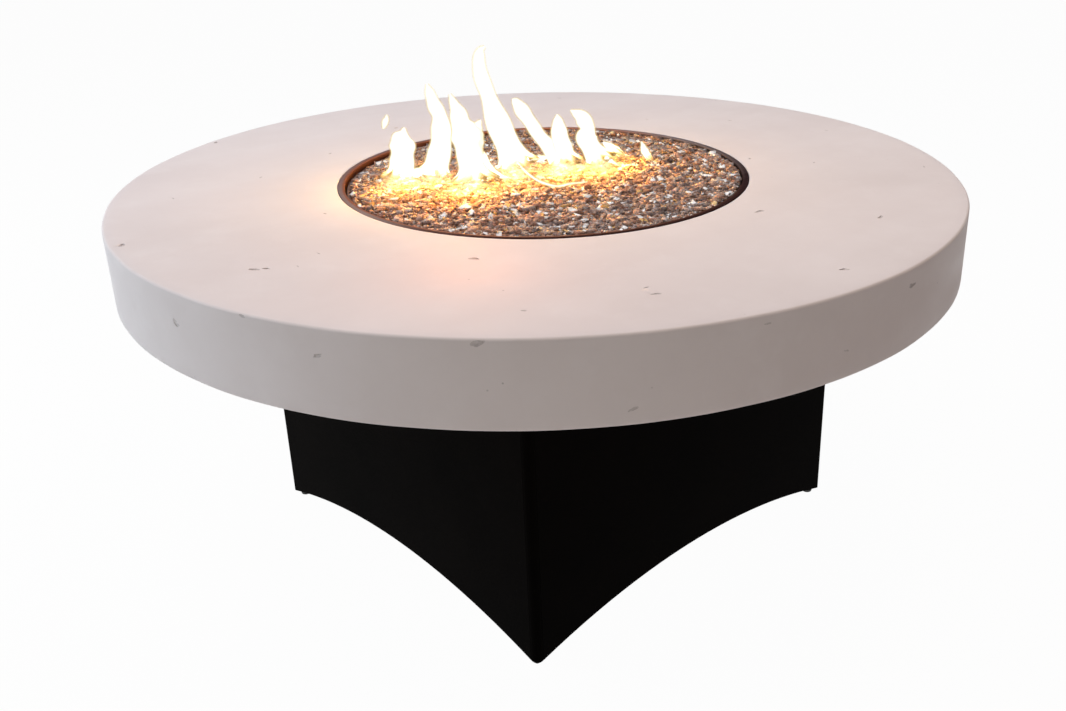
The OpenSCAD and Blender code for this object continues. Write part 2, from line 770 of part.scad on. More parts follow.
// One flame per row of the list, as separate closed tongues that stand just over the glass.
module flames() color("#ffd9a0") {
  n = 10;
  rings = 10;
  points = [for (f = flame_list) each concat(
    [for (i = [0 : rings - 1], k = [0 : n - 1])
      let (t = i / rings, r = f[5] * flame_spread(t))
      flame_middle(f, t) + [r * cos(360 * k / n), r * sin(360 * k / n), 0]],
    [flame_middle(f, 1)])];
  size = rings * n + 1;
  faces = [for (j = [0 : len(flame_list) - 1]) let (b = j * size) each concat(
    [[for (k = [0 : n - 1]) b + k]],
    [for (i = [0 : rings - 2], k = [0 : n - 1], h = [0, 1])
      let (p = b + i * n + k, q = b + i * n + (k + 1) % n)
      h == 0 ? [p, q + n, q] : [p, p + n, q + n]],
    [for (k = [0 : n - 1]) let (e = b + (rings - 1) * n) [e + k, b + size - 1, e + (k + 1) % n]])];
  polyhedron(points, faces, convexity = 6);
}

module heat_shield() color(bare_steel) {
  difference() {
    rotate_extrude($fn = 120) {
      translate([0, shield_z]) square([shield_d / 2, shield_t]);
      translate([shield_d / 2 - shield_t, shield_z - 8]) square([shield_t, 8 + shield_t]);
    }
    translate([0, 0, shield_z - over]) {
      cylinder(r = mixer_r + 3, h = shield_t + 2 * over, $fn = 64);
      at_shield_studs() cylinder(r = 3 + screw_gap, h = shield_t + 2 * over, $fn = 32);
    }
  }
}

module shield_nuts() color(bare_steel) {
  at_shield_studs() translate([0, 0, shield_z - 5]) nut(10, 5, 3 + snug, $fn = 32);
}

// Spark ignition

module electrode_bracket() color(bare_steel) {
  x = electrode_x + bracket_reach;
  difference() {
    union() {
      translate([x, -bracket_w / 2, pan_bed_z]) cube([18, bracket_w, bracket_t]);
      translate([x, -bracket_w / 2, pan_bed_z]) cube([bracket_t, bracket_w, tab_z + bracket_t - pan_bed_z]);
      translate([electrode_x - 9, -bracket_w / 2, tab_z])
        cube([bracket_reach + 9 + bracket_t, bracket_w, bracket_t]);
    }
    translate([electrode_x, 0, tab_z - over])
      cylinder(r = ceramic_r + snug, h = bracket_t + 2 * over, $fn = 32);
  }
}

module spark_electrode() color("#efeae2") {
  bottom = ceramic_top - ceramic_len;
  translate([electrode_x, 0, 0]) {
    translate([0, 0, bottom]) cylinder(r = ceramic_r, h = ceramic_len, $fn = 32);
    translate([0, 0, tab_z + bracket_t]) cylinder(r = ceramic_r + 2, h = 3, $fn = 32);
    translate([0, 0, ceramic_top - over]) cylinder(r = 1.2, h = lava_z - 1.5 - ceramic_top + over, $fn = 24);
    translate([0, 0, bottom - boot_len]) cylinder(r = boot_r, h = boot_len + over, $fn = 32);
  }
}

module lead_grommet() color("#262322") {
  waist = grommet_r - 1.5 - snug;
  translate([electrode_x, 0, 0]) difference() {
    union() {
      translate([0, 0, pan_bed_z]) cylinder(r = grommet_r, h = 1.5, $fn = 32);
      translate([0, 0, pan_floor_z - over]) cylinder(r = waist, h = pan_t + 2 * over, $fn = 32);
      translate([0, 0, pan_floor_z - 1.5]) cylinder(r = grommet_r, h = 1.5, $fn = 32);
    }
    translate([0, 0, pan_floor_z - 2 * over - 1])
      cylinder(r = lead_r + 0.2, h = pan_t + 4 * over + 2, $fn = 32);
  }
}

// The insulated lead from the igniter, up through the pan to the electrode.
module spark_lead() color("#7a2f22") {
  bottom = ceramic_top - ceramic_len - boot_len;
  span = igniter_back + 16 - electrode_x;
  route = [[electrode_x, 0, bottom], [electrode_x, 0, pan_floor_z + 6], [electrode_x, 0, pan_floor_z - 8],
    [electrode_x, 0, pan_floor_z - 22], [electrode_x - 6, 8, pan_floor_z - 48],
    [electrode_x + 0.44 * span, igniter_y - 14, control_z + 8], [electrode_x + 0.85 * span, igniter_y,
      control_z],
    [electrode_x + span, igniter_y, control_z], [igniter_back + 6, igniter_y, control_z]];
  path = curve(route, 4);
  n = 8;
  polyhedron([for (i = [0 : len(path) - 1]) each ring(path, i, lead_r, n)], sweep_faces(len(path), n),
    convexity = 6);
}

// Controls

// A flat plate outline with rounded corners, centred.
module rounded_outline(w, h, r) {
  difference() {
    square([w, h], center = true);
    for (u = [0, 1], v = [0, 1]) mirror([u, 0]) mirror([0, v]) translate([w / 2, h / 2]) corner_cut(r);
  }
}

module control_plate() color("#a9a7a4") {
  difference() {
    translate([plate_face, 0, control_z]) rotate([90, 0, 90]) linear_extrude(control_t)
      rounded_outline(control_w, control_h, 6);
    translate([plate_face - over, knob_y, control_z]) along_x()
      cylinder(r = bushing_r + screw_gap, h = control_t + 2 * over, $fn = 48);
    translate([plate_face - over, igniter_y, control_z]) along_x()
      cylinder(r = igniter_r + screw_gap, h = control_t + 2 * over, $fn = 48);
    for (u = [-1, 1], v = [-1, 1])
      translate([plate_face - over, u * (control_w / 2 - 8), control_z + v * (control_h / 2 - 8)]) along_x()
        cylinder(r = 2 + screw_gap, h = control_t + 2 * over, $fn = 32);
    translate([plate_face - over, knob_y - 0.8, control_z + knob_d / 2 + 2]) cube([over + 0.6, 1.6, 7]);
    translate([plate_face - over, knob_y + knob_d / 2 + 2, control_z - 0.8]) cube([over + 0.6, 7, 1.6]);
  }
}

module control_screws() color(bare_steel) {
  for (u = [-1, 1], v = [-1, 1])
    translate([plate_face, u * (control_w / 2 - 8), control_z + v * (control_h / 2 - 8)]) {
      along_minus_x() cylinder(r = 4, h = 2.4, $fn = 48);
      translate([-1, 0, 0]) along_x() cylinder(r = 2, h = control_t + panel_t + 8, $fn = 32);
    }
}

// The valve hangs on the plate by its threaded bushing. Gas enters on the -Y side and leaves towards the
// burner.
module valve_body() color(brass) {
  bushing_end = plate_face - panel_nut_t;
  translate([0, knob_y, control_z]) difference() {
    union() {
      translate([valve_front, -valve_size / 2, -valve_size / 2]) cube(valve_size);
      translate([bushing_end, 0, 0]) along_x()
        cylinder(r = bushing_r, h = valve_front - bushing_end + over, $fn = 48);
      translate([valve_back - over, 0, 0]) along_x()
        cylinder(r = valve_boss_r, h = valve_boss_len + over, $fn = 48);
      translate([valve_back, 0, 0]) along_x()
        cylinder(r = hose_bore - snug, h = valve_boss_len + 14, $fn = 48);
      translate([valve_mid, -valve_size / 2 - valve_boss_len, 0]) along_y()
        cylinder(r = valve_boss_r, h = valve_boss_len + over, $fn = 48);
    }
    translate([bushing_end - over, 0, 0]) along_x()
      cylinder(r = stem_r + running, h = valve_mid - bushing_end + over, $fn = 48);
    translate([valve_mid - 1, 0, 0]) along_x()
      cylinder(r = 3, h = valve_back - valve_mid + valve_boss_len + 20, $fn = 32);
    translate([valve_mid, -valve_size / 2 - valve_boss_len - over, 0]) along_y()
      cylinder(r = pipe_r + snug, h = pipe_seat + 2 * slack + over, $fn = 48);
    translate([valve_mid, -valve_size / 2 - 2, 0]) along_y()
      cylinder(r = pipe_bore, h = valve_size / 2 + 2, $fn = 32);
  }
}

module valve_panel_nut() color(brass) {
  translate([plate_face, knob_y, control_z]) along_minus_x() nut(17, panel_nut_t, bushing_r + snug, $fn = 48);
}

// The stem has a flat that drives the knob.
module valve_stem() color(bare_steel) {
  translate([stem_out, knob_y, control_z]) difference() {
    along_x() cylinder(r = stem_r, h = valve_mid - 5 - stem_out, $fn = 48);
    translate([-over, -stem_r - over, stem_r - stem_flat])
      cube([knob_base - stem_out + over + slack, 2 * stem_r + 2 * over, stem_flat + over]);
  }
}

// The knob: a round skirt and a grip bar whose notched end points at the setting.
module control_knob() color("#1a1918") {
  skirt = 7;
  bar = 13;
  translate([knob_base, knob_y, control_z]) along_minus_x() difference() {
    union() {
      rotate_extrude($fn = 96) difference() {
        square([knob_d / 2, skirt]);
        translate([knob_d / 2, skirt]) corner_cut(2);
      }
      intersection() {
        cylinder(r = knob_d / 2 - 2, h = knob_len, $fn = 96);
        translate([-bar / 2, -knob_d / 2, skirt / 2]) cube([bar, knob_d, knob_len - skirt / 2]);
      }
    }
    difference() {
      translate([0, 0, -over])
        cylinder(r = stem_r + snug, h = knob_base - stem_out + over + fit_gap, $fn = 48);
      translate([stem_r - stem_flat + snug, -stem_r - over, -2 * over])
        cube([stem_flat + over, 2 * stem_r + 2 * over, knob_len]);
    }
    translate([-0.8, knob_d / 2 - 12, knob_len - 0.8]) cube([1.6, 12, 0.8 + over]);
  }
}

module igniter_housing() color("#242322") {
  front = plate_face - bezel_t;
  translate([0, igniter_y, control_z]) difference() {
    union() {
      translate([front, 0, 0]) along_x() cylinder(r = bezel_r, h = bezel_t, $fn = 64);
      translate([front + 1, 0, 0]) along_x() cylinder(r = igniter_r, h = igniter_back - front - 1, $fn = 64);
      translate([igniter_back - over, 0, 0]) along_x() cylinder(r = 3, h = 6 + over, $fn = 32);
    }
    translate([front - over, 0, 0]) along_x()
      cylinder(r = button_r + running, h = spring_seat - front + over, $fn = 64);
    translate([spring_seat - over, 0, 0]) along_x()
      cylinder(r = battery_r + fit_gap, h = battery_front + battery_len + fit_gap - spring_seat + over,
        $fn = 48);
  }
}

module igniter_nut() color(bare_steel) {
  translate([-half_w, igniter_y, control_z]) along_x()
    nut(2 * igniter_r + 7, igniter_nut_t, igniter_r + snug, $fn = 64);
}

module igniter_button() color("#8f2a1d") {
  front = plate_face - bezel_t - button_out;
  translate([front, igniter_y, control_z]) along_x() {
    rotate_extrude($fn = 64) difference() {
      square([button_r, button_len]);
      translate([button_r, 0]) mirror([0, 1]) corner_cut(1.5);
    }
    translate([0, 0, button_len - over]) cylinder(r = 4, h = 3 + over, $fn = 32);
  }
}

// The return spring, between the button and the shoulder of the housing.
module igniter_spring() color(bare_steel) {
  wire = 0.55;
  coil_r = 6.4;
  turns = 4;
  steps = 16;
  n = 6;
  x0 = button_back + wire + 0.1;
  x1 = spring_seat - wire - 0.1;
  path = [for (i = [0 : turns * steps]) let (t = i / (turns * steps), a = 360 * turns * t)
    [x0 + (x1 - x0) * t, igniter_y + coil_r * cos(a), control_z + coil_r * sin(a)]];
  points = [for (i = [0 : turns * steps], k = [0 : n - 1]) let (a = 360 * i / steps, b = 360 * k / n)
    path[i] + wire * [cos(b), sin(b) * cos(a), sin(b) * sin(a)]];
  polyhedron(points, sweep_faces(turns * steps + 1, n), convexity = 10);
}

module igniter_battery() color("#b08a3c") {
  translate([battery_front, igniter_y, control_z]) along_x()
    cylinder(r = battery_r, h = battery_len, $fn = 48);
}

// Gas supply

module gas_inlet() color(brass) {
  inner = half_w - panel_t - inlet_inner;
  translate([0, inlet_y, inlet_z]) difference() {
    union() {
      translate([-half_w, 0, 0]) along_minus_x() hex(collar_af, collar_t);
      translate([-half_w - 2, 0, 0]) along_x() cylinder(r = inlet_r, h = half_w + 2 - inner, $fn = 48);
      translate([-half_w - collar_t / 2, 0, 0]) along_minus_x()
        cylinder(r = inlet_r, h = inlet_thread + collar_t / 2, $fn = 48);
    }
    translate([-half_w - collar_t - inlet_thread - over, 0, 0]) along_x()
      cylinder(r = inlet_bore, h = half_w + collar_t + inlet_thread - inner + 2 * over, $fn = 48);
    translate([-inner - pipe_seat, 0, 0]) along_x()
      cylinder(r = pipe_r + snug, h = pipe_seat + over, $fn = 48);
  }
}

module inlet_locknut() color(brass) {
  translate([-half_w + panel_t, inlet_y, inlet_z]) along_x() nut(collar_af, 5, inlet_r + snug, $fn = 48);
}

// Rigid pipe from the inlet up to the side of the valve; less makes the bore.
module pipe_run(r) {
  start = -half_w + panel_t + inlet_inner - pipe_seat + slack;
  turn_x = valve_mid - pipe_bend;
  end_y = knob_y - valve_size / 2 - valve_boss_len + pipe_seat + slack;
  translate([start, inlet_y, inlet_z]) along_x() cylinder(r = r, h = turn_x - start, $fn = 36);
  translate([turn_x, inlet_y, inlet_z + pipe_bend]) rotate([90, 0, 0]) rotate(-90)
    rotate_extrude(angle = 90, $fn = 96) translate([pipe_bend, 0]) circle(r, $fn = 36);
  translate([valve_mid, inlet_y, inlet_z + pipe_bend])
    cylinder(r = r, h = control_z - inlet_z - 2 * pipe_bend, $fn = 36);
  translate([valve_mid, inlet_y + pipe_bend, control_z - pipe_bend]) rotate([90, 0, -90])
    rotate_extrude(angle = 90, $fn = 96) translate([pipe_bend, 0]) circle(r, $fn = 36);
  translate([valve_mid, inlet_y + pipe_bend, control_z]) along_y()
    cylinder(r = r, h = end_y - inlet_y - pipe_bend, $fn = 36);
}

module inlet_pipe() color("#b8793f") {
  difference() {
    pipe_run(pipe_r);
    pipe_run(pipe_bore);
  }
}

// The ribbed metal hose from the valve to the mixer, straight over both spigots.
module burner_hose() color("#a7a5a0") {
  x0 = valve_back + valve_boss_len + fit_gap;
  x1 = -elbow_len - fit_gap;
  ends = 20;
  n = 12;
  steps = 62;
  path = [for (i = [0 : steps]) let (x = x0 + (x1 - x0) * i / steps,
    t = (x - x0 - ends) / (x1 - x0 - 2 * ends))
    [x, knob_y * (1 - ease(t)), control_z]];
  skin = [for (i = [0 : steps]) i < 5 || i > steps - 5 ? hose_r + 0.6 : hose_r - (i % 2) * 0.9];
  polyhedron(concat([for (i = [0 : steps]) each ring(path, i, skin[i], n)],
    [for (i = [0 : steps]) each ring(path, i, hose_bore / cos(180 / n), n)]), hollow_faces(steps + 1, n),
      convexity = 8);
}

// Access door

module access_door() color(black_steel) {
  w = door_w - 2 * door_gap;
  h = door_h - 2 * door_gap;
  fw = w - 2 * flange_edge;
  fh = h - 2 * flange_edge;
  translate([0, half_w - panel_t, door_z + door_h / 2]) difference() {
    union() {
      translate([-w / 2, 0, -h / 2]) cube([w, panel_t, h]);
      difference() {
        translate([-fw / 2, -door_flange, -fh / 2]) cube([fw, door_flange + panel_t / 2, fh]);
        translate([-fw / 2 + flange_t, -door_flange - over, -fh / 2 + flange_t])
          cube([fw - 2 * flange_t, door_flange + over, fh - 2 * flange_t]);
      }
    }
    translate([pull_x, -over, 0]) along_y() cylinder(r = 2.5 + screw_gap, h = panel_t + 2 * over, $fn = 32);
  }
}

// One leaf of a hinge towards +X or, with side = -1, towards -X; the list gives its knuckles as [start,
// length].
module leaf(side, knuckles, bore) {
  tongue = barrel_r + 0.6;
  for (z = hinge_spots) difference() {
    union() {
      translate([hinge_x + (side > 0 ? tongue : -leaf_w), half_w, z])
        cube([leaf_w - tongue, leaf_t, hinge_len]);
      for (k = knuckles) translate([hinge_x, 0, z + k[0]]) {
        translate([side > 0 ? slack : -tongue - over, half_w, 0]) cube([tongue - slack + over, leaf_t, k[1]]);
        translate([0, hinge_y, 0]) cylinder(r = barrel_r, h = k[1], $fn = 48);
      }
    }
    translate([hinge_x, hinge_y, z - over]) cylinder(r = bore, h = hinge_len + 2 * over, $fn = 32);
  }
}

module hinge_frame_leaves() color(black_steel)
  leaf(1, [[0, knuckle - 0.2], [2 * knuckle + 0.2, knuckle - 0.2]], pin_r + snug);

module hinge_door_leaves() color(black_steel)
  leaf(-1, [[knuckle + 0.2, knuckle - 0.4]], pin_r + running);

module hinge_pins() color(bare_steel) {
  for (z = hinge_spots) translate([hinge_x, hinge_y, z]) {
    translate([0, 0, -0.5]) cylinder(r = pin_r, h = hinge_len + 1, $fn = 32);
    translate([0, 0, -1.2]) cylinder(r = pin_r + 1, h = 1.2, $fn = 32);
    translate([0, 0, hinge_len]) cylinder(r = pin_r + 1, h = 1.2, $fn = 32);
  }
}

module door_pull() color(black_steel) {
  translate([pull_x, half_w, pull_z]) along_y() {
    cylinder(r = 4.5, h = 15, $fn = 48);
    translate([0, 0, 13]) rotate_extrude($fn = 64) difference() {
      square([11, 8]);
      translate([11, 8]) corner_cut(2);
    }
    translate([0, 0, -panel_t - 6]) cylinder(r = 2.5, h = panel_t + 7, $fn = 32);
  }
}

// A magnet block on the inside of the rear panel that the door's flange closes on.
module door_catch() color("#2a2928") {
  depth = door_flange + 10;
  reach = door_gap + flange_edge + flange_t + 4;
  translate([-door_w / 2, half_w - panel_t - depth, pull_z - 12]) {
    translate([-28, 0, 0]) cube([24, depth, 24]);
    translate([-5, 0, 0]) cube([5 + reach, depth - door_flange - fit_gap, 24]);
  }
}

table_top();
top_inserts();
top_pads();
top_bolts();
corner_plate_front_right();
corner_plate_rear_right();
corner_plate_rear_left();
corner_plate_front_left();
corner_post_front_right();
corner_post_rear_right();
corner_post_rear_left();
corner_post_front_left();
foot_front_right();
foot_rear_right();
foot_rear_left();
foot_front_left();
front_panel();
right_panel();
rear_panel();
left_panel();
panel_studs();
panel_nuts();
plate_screws();
burner_pan();
burner();
burner_supports();
burner_washer();
burner_locknut();
air_mixer();
mixer_elbow();
lava_rock_bed();
fire_glass();
flames();
heat_shield();
shield_nuts();
electrode_bracket();
spark_electrode();
lead_grommet();
spark_lead();
control_plate();
control_screws();
valve_body();
valve_panel_nut();
valve_stem();
control_knob();
igniter_housing();
igniter_nut();
igniter_button();
igniter_spring();
igniter_battery();
gas_inlet();
inlet_locknut();
inlet_pipe();
burner_hose();
access_door();
hinge_frame_leaves();
hinge_door_leaves();
hinge_pins();
door_pull();
door_catch();
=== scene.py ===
"""Looks of the round gas fire pit table: cast top with its pits, burner pan full of crushed glass,
lit flames, black steel base and the gas controls. Metres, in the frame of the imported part."""

import json
import math

import bpy
import numpy as np
from mathutils import Matrix, Vector
from mathutils.bvhtree import BVHTree


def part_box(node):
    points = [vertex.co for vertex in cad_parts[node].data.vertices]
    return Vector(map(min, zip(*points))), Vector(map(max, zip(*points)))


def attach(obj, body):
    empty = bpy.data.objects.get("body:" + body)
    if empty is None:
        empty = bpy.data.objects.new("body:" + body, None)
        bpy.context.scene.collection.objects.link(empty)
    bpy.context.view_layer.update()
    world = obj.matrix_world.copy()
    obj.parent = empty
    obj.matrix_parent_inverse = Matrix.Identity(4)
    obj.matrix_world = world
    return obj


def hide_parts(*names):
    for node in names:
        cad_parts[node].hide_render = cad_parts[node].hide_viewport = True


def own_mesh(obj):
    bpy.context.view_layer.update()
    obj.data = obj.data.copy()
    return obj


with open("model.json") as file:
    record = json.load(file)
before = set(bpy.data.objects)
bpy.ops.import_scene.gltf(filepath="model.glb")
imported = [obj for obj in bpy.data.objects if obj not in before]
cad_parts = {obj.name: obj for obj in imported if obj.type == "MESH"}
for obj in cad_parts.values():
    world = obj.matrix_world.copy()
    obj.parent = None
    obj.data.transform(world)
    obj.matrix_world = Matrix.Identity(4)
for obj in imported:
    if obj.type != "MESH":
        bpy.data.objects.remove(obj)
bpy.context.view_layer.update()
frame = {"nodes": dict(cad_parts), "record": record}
nodes = frame["nodes"]

MM = 0.001
rng = np.random.default_rng(11)

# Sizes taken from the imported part
top_low, top_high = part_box("table_top")
pan_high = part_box("burner_pan")[1]
glass_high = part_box("fire_glass")[1]
TOP_R = top_high.x
TABLE_Z = top_high.z
APRON_Z = top_low.z
GLASS_Z = glass_high.z
GLASS_R = glass_high.x
LIP_R = pan_high.x

# Level directions across and into the photograph's view
FLAME_RIGHT = np.array([0.7083, 0.7060, 0.0])
FLAME_DEEP = np.array([-0.7060, 0.7083, 0.0])


# Mesh making


def mesh_of(name, points, faces):
    """A mesh from an array of points and an array of faces that all have the same number of corners."""
    mesh = bpy.data.meshes.new(name)
    count, corners = faces.shape
    mesh.vertices.add(len(points))
    mesh.vertices.foreach_set("co", np.ascontiguousarray(points, np.float32).ravel())
    mesh.loops.add(count * corners)
    mesh.loops.foreach_set("vertex_index", np.ascontiguousarray(faces, np.int32).ravel())
    mesh.polygons.add(count)
    mesh.polygons.foreach_set("loop_start", np.arange(0, count * corners, corners, dtype=np.int32))
    mesh.update(calc_edges=True)
    mesh.validate()
    return mesh


def linked(name, data):
    """A new object at the origin, linked to the scene."""
    made = bpy.data.objects.new(name, data)
    bpy.context.scene.collection.objects.link(made)
    return made


def piece(name, mesh, material, body="table"):
    """An object at the origin that rides on a body and has one material."""
    made = linked(name, mesh)
    mesh.materials.append(material)
    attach(made, body)
    return made


def grid_faces(rows, columns, wrap_rows, wrap_columns):
    """Quads of a grid whose points are numbered row by row. A wrapped direction joins its end to its
    start."""
    i = np.arange(rows if wrap_rows else rows - 1)[:, None]
    j = np.arange(columns if wrap_columns else columns - 1)[None, :]
    a = i * columns + j
    b = i * columns + (j + 1) % columns
    c = (i + 1) % rows * columns + (j + 1) % columns
    d = (i + 1) % rows * columns + j
    return np.stack(np.broadcast_arrays(a, b, c, d), -1).reshape(-1, 4)


def tube_faces(rings, sides):
    """Triangles of a tube of rings of points, with a fan over each end."""
    sheet = grid_faces(rings, sides, False, True)
    fan = np.arange(sides - 2)
    hub = np.zeros(sides - 2, int)
    start = np.stack([hub, fan + 2, fan + 1], 1)
    end = (rings - 1) * sides + np.stack([hub, fan + 1, fan + 2], 1)
    return np.vstack([sheet[:, [0, 1, 2]], sheet[:, [0, 2, 3]], start, end])


def repeated(faces, copies, size):
    """Faces of many copies of a shape whose points follow each other, size points to a copy."""
    return (faces[None] + (np.arange(copies) * size)[:, None, None]).reshape(-1, faces.shape[1])


def smooth(mesh, degrees):
    """Smooth shading with edges sharper than an angle kept sharp."""
    mesh.polygons.foreach_set("use_smooth", np.ones(len(mesh.polygons), bool))
    mesh.set_sharp_from_angle(angle=math.radians(degrees))


def add_values(mesh, name, values, domain="POINT"):
    """A float attribute, one value per point or per face."""
    attribute = mesh.attributes.new(name, "FLOAT", domain)
    attribute.data.foreach_set("value", np.asarray(values, np.float32))


def arc(centre, radius, start, end, steps):
    """Points on a circular arc, angles in degrees."""
    a = np.radians(np.linspace(start, end, steps))
    return np.stack([centre[0] + radius * np.cos(a), centre[1] + radius * np.sin(a)], 1)


def line(start, end, steps):
    """Points on a straight line without its last point."""
    t = np.linspace(0, 1, steps, endpoint=False)[:, None]
    return np.asarray(start) * (1 - t) + np.asarray(end) * t


def ball(rows, columns):
    """Unit ball: rings between two poles. Gives its points and its triangles."""
    lat = np.linspace(-np.pi / 2, np.pi / 2, rows + 2)[1:-1, None]
    lon = np.linspace(0, 2 * np.pi, columns, endpoint=False)[None, :]
    x, y = np.cos(lat) * np.cos(lon), np.cos(lat) * np.sin(lon)
    ring = np.stack(np.broadcast_arrays(x, y, np.sin(lat)), -1)
    points = np.vstack([ring.reshape(-1, 3), [[0, 0, -1], [0, 0, 1]]])
    quads = grid_faces(rows, columns, False, True)
    this = np.arange(columns)
    following = (this + 1) % columns
    last = (rows - 1) * columns
    low = np.full(columns, rows * columns)
    low_fan = np.stack([low, following, this], 1)
    high_fan = np.stack([low + 1, last + this, last + following], 1)
    return points, np.vstack([quads[:, [0, 1, 2]], quads[:, [0, 2, 3]], low_fan, high_fan])


def spline(knots, steps):
    """Smooth curve through knots: cubic pieces whose slope at a knot is half the step between its
    neighbours."""
    knots = np.asarray(knots, float)
    padded = np.vstack([2 * knots[0] - knots[1], knots, 2 * knots[-1] - knots[-2]])
    t = np.linspace(0, len(knots) - 1, steps)
    i = np.minimum(t.astype(int), len(knots) - 2)
    f = (t - i)[:, None]
    a, b, c, d = padded[i], padded[i + 1], padded[i + 2], padded[i + 3]
    square, cube = 2 * a - 5 * b + 4 * c - d, 3 * b - a - 3 * c + d
    return 0.5 * (2 * b + (c - a) * f + square * f**2 + cube * f**3)


def turn_about(axis, angle):
    """Matrices of turns about X (axis 0) or Z (axis 2), one per angle."""
    c, n, zero, one = np.cos(angle), np.sin(angle), np.zeros_like(angle), np.ones_like(angle)
    if axis == 0:
        rows = [[one, zero, zero], [zero, c, -n], [zero, n, c]]
    else:
        rows = [[c, -n, zero], [n, c, zero], [zero, zero, one]]
    return np.moveaxis(np.array(rows), -1, 0)


# Shader node groups


def new_group(name, inputs, outputs):
    """An empty node group with float inputs (name: default) and outputs (name: socket type)."""
    tree = bpy.data.node_groups.new(name, "ShaderNodeTree")
    for label, default in inputs.items():
        socket = tree.interface.new_socket(label, in_out="INPUT", socket_type="NodeSocketFloat")
        socket.default_value = default
    for label, kind in outputs.items():
        tree.interface.new_socket(label, in_out="OUTPUT", socket_type=kind)
    return tree, tree.nodes.new("NodeGroupInput"), tree.nodes.new("NodeGroupOutput")


def noise_node(tree, vector, detail=4.0, rough=0.55):
    """A noise texture read at a vector."""
    noise = tree.nodes.new("ShaderNodeTexNoise")
    noise.inputs["Detail"].default_value = detail
    noise.inputs["Roughness"].default_value = rough
    tree.links.new(vector, noise.inputs["Vector"])
    return noise


def remap(tree, value, low, high, new_low=0.0, new_high=1.0):
    """Map Range from low..high to new_low..new_high, clamped."""
    node = tree.nodes.new("ShaderNodeMapRange")
    for label, number in (("From Min", low), ("From Max", high), ("To Min", new_low), ("To Max", new_high)):
        node.inputs[label].default_value = number
    tree.links.new(value, node.inputs["Value"])
    return node.outputs["Result"]


def math_node(tree, operation, first, second, clamp=False):
    """One step of arithmetic between a socket and another socket or a number."""
    node = tree.nodes.new("ShaderNodeMath")
    node.operation = operation
    node.use_clamp = clamp
    tree.links.new(first, node.inputs[0])
    if isinstance(second, float):
        node.inputs[1].default_value = second
    else:
        tree.links.new(second, node.inputs[1])
    return node.outputs["Value"]


def clouds_group():
    """Soft clouds: broad noise stretched to the full range 0 to 1."""
    tree, given, out = new_group("Soft clouds", {"Scale": 4.0}, {"Mask": "NodeSocketFloat"})
    place = tree.nodes.new("ShaderNodeTexCoord")
    noise = noise_node(tree, place.outputs["Object"], 5.0, 0.6)
    tree.links.new(given.outputs["Scale"], noise.inputs["Scale"])
    tree.links.new(remap(tree, noise.outputs["Fac"], 0.3, 0.7), out.inputs["Mask"])
    return tree


def grain_group():
    """Fine grain: small noise as a mask and, mixed with a coarser one, as a height."""
    outputs = {"Mask": "NodeSocketFloat", "Height": "NodeSocketFloat"}
    tree, given, out = new_group("Fine grain", {"Scale": 400.0}, outputs)
    place = tree.nodes.new("ShaderNodeTexCoord")
    fine = noise_node(tree, place.outputs["Object"], 3.0, 0.6)
    tree.links.new(given.outputs["Scale"], fine.inputs["Scale"])
    coarse = noise_node(tree, place.outputs["Object"], 2.0, 0.5)
    tree.links.new(math_node(tree, "MULTIPLY", given.outputs["Scale"], 0.3), coarse.inputs["Scale"])
    total = math_node(tree, "ADD", fine.outputs["Fac"], coarse.outputs["Fac"])
    tree.links.new(remap(tree, fine.outputs["Fac"], 0.32, 0.68), out.inputs["Mask"])
    tree.links.new(total, out.inputs["Height"])
    return tree


def brushed_group():
    """Brushed lines: noise drawn out along Y, as a mask and a height."""
    outputs = {"Mask": "NodeSocketFloat", "Height": "NodeSocketFloat"}
    tree, given, out = new_group("Brushed lines", {"Scale": 900.0}, outputs)
    place = tree.nodes.new("ShaderNodeTexCoord")
    stretch = tree.nodes.new("ShaderNodeMapping")
    stretch.inputs["Scale"].default_value = (1.0, 0.02, 1.0)
    tree.links.new(place.outputs["Object"], stretch.inputs["Vector"])
    lines = noise_node(tree, stretch.outputs["Vector"], 2.0, 0.5)
    tree.links.new(given.outputs["Scale"], lines.inputs["Scale"])
    tree.links.new(remap(tree, lines.outputs["Fac"], 0.3, 0.7), out.inputs["Mask"])
    tree.links.new(lines.outputs["Fac"], out.inputs["Height"])
    return tree


CLOUDS = clouds_group()
GRAIN = grain_group()
BRUSHED = brushed_group()


def use_group(tree, group, scale):
    """Places a group in a material with its own scale."""
    node = tree.nodes.new("ShaderNodeGroup")
    node.node_tree = group
    node.inputs["Scale"].default_value = scale
    return node


def new_material(name, **sockets):
    """A material, its node tree and its shader, with constants set on the shader's own sockets."""
    material = bpy.data.materials.new(name)
    material.use_nodes = True
    shader = material.node_tree.nodes["Principled BSDF"]
    for label, value in sockets.items():
        shader.inputs[label.replace("_", " ")].default_value = value
    return material, material.node_tree, shader


def mix_colours(tree, mask, first, second):
    """A colour between two others by a mask. A colour may be a tuple or a socket."""
    node = tree.nodes.new("ShaderNodeMix")
    node.data_type = "RGBA"
    tree.links.new(mask, node.inputs[0])
    for index, colour in ((6, first), (7, second)):
        if isinstance(colour, tuple):
            node.inputs[index].default_value = (*colour, 1.0)
        else:
            tree.links.new(colour, node.inputs[index])
    return node.outputs[2]


def ramp(tree, value, stops):
    """A colour ramp from a list of (place, colour)."""
    node = tree.nodes.new("ShaderNodeValToRGB")
    while len(node.color_ramp.elements) < len(stops):
        node.color_ramp.elements.new(0.5)
    for element, (place, colour) in zip(node.color_ramp.elements, stops):
        element.position = place
        element.color = (*colour, 1.0)
    tree.links.new(value, node.inputs["Fac"])
    return node.outputs["Color"]


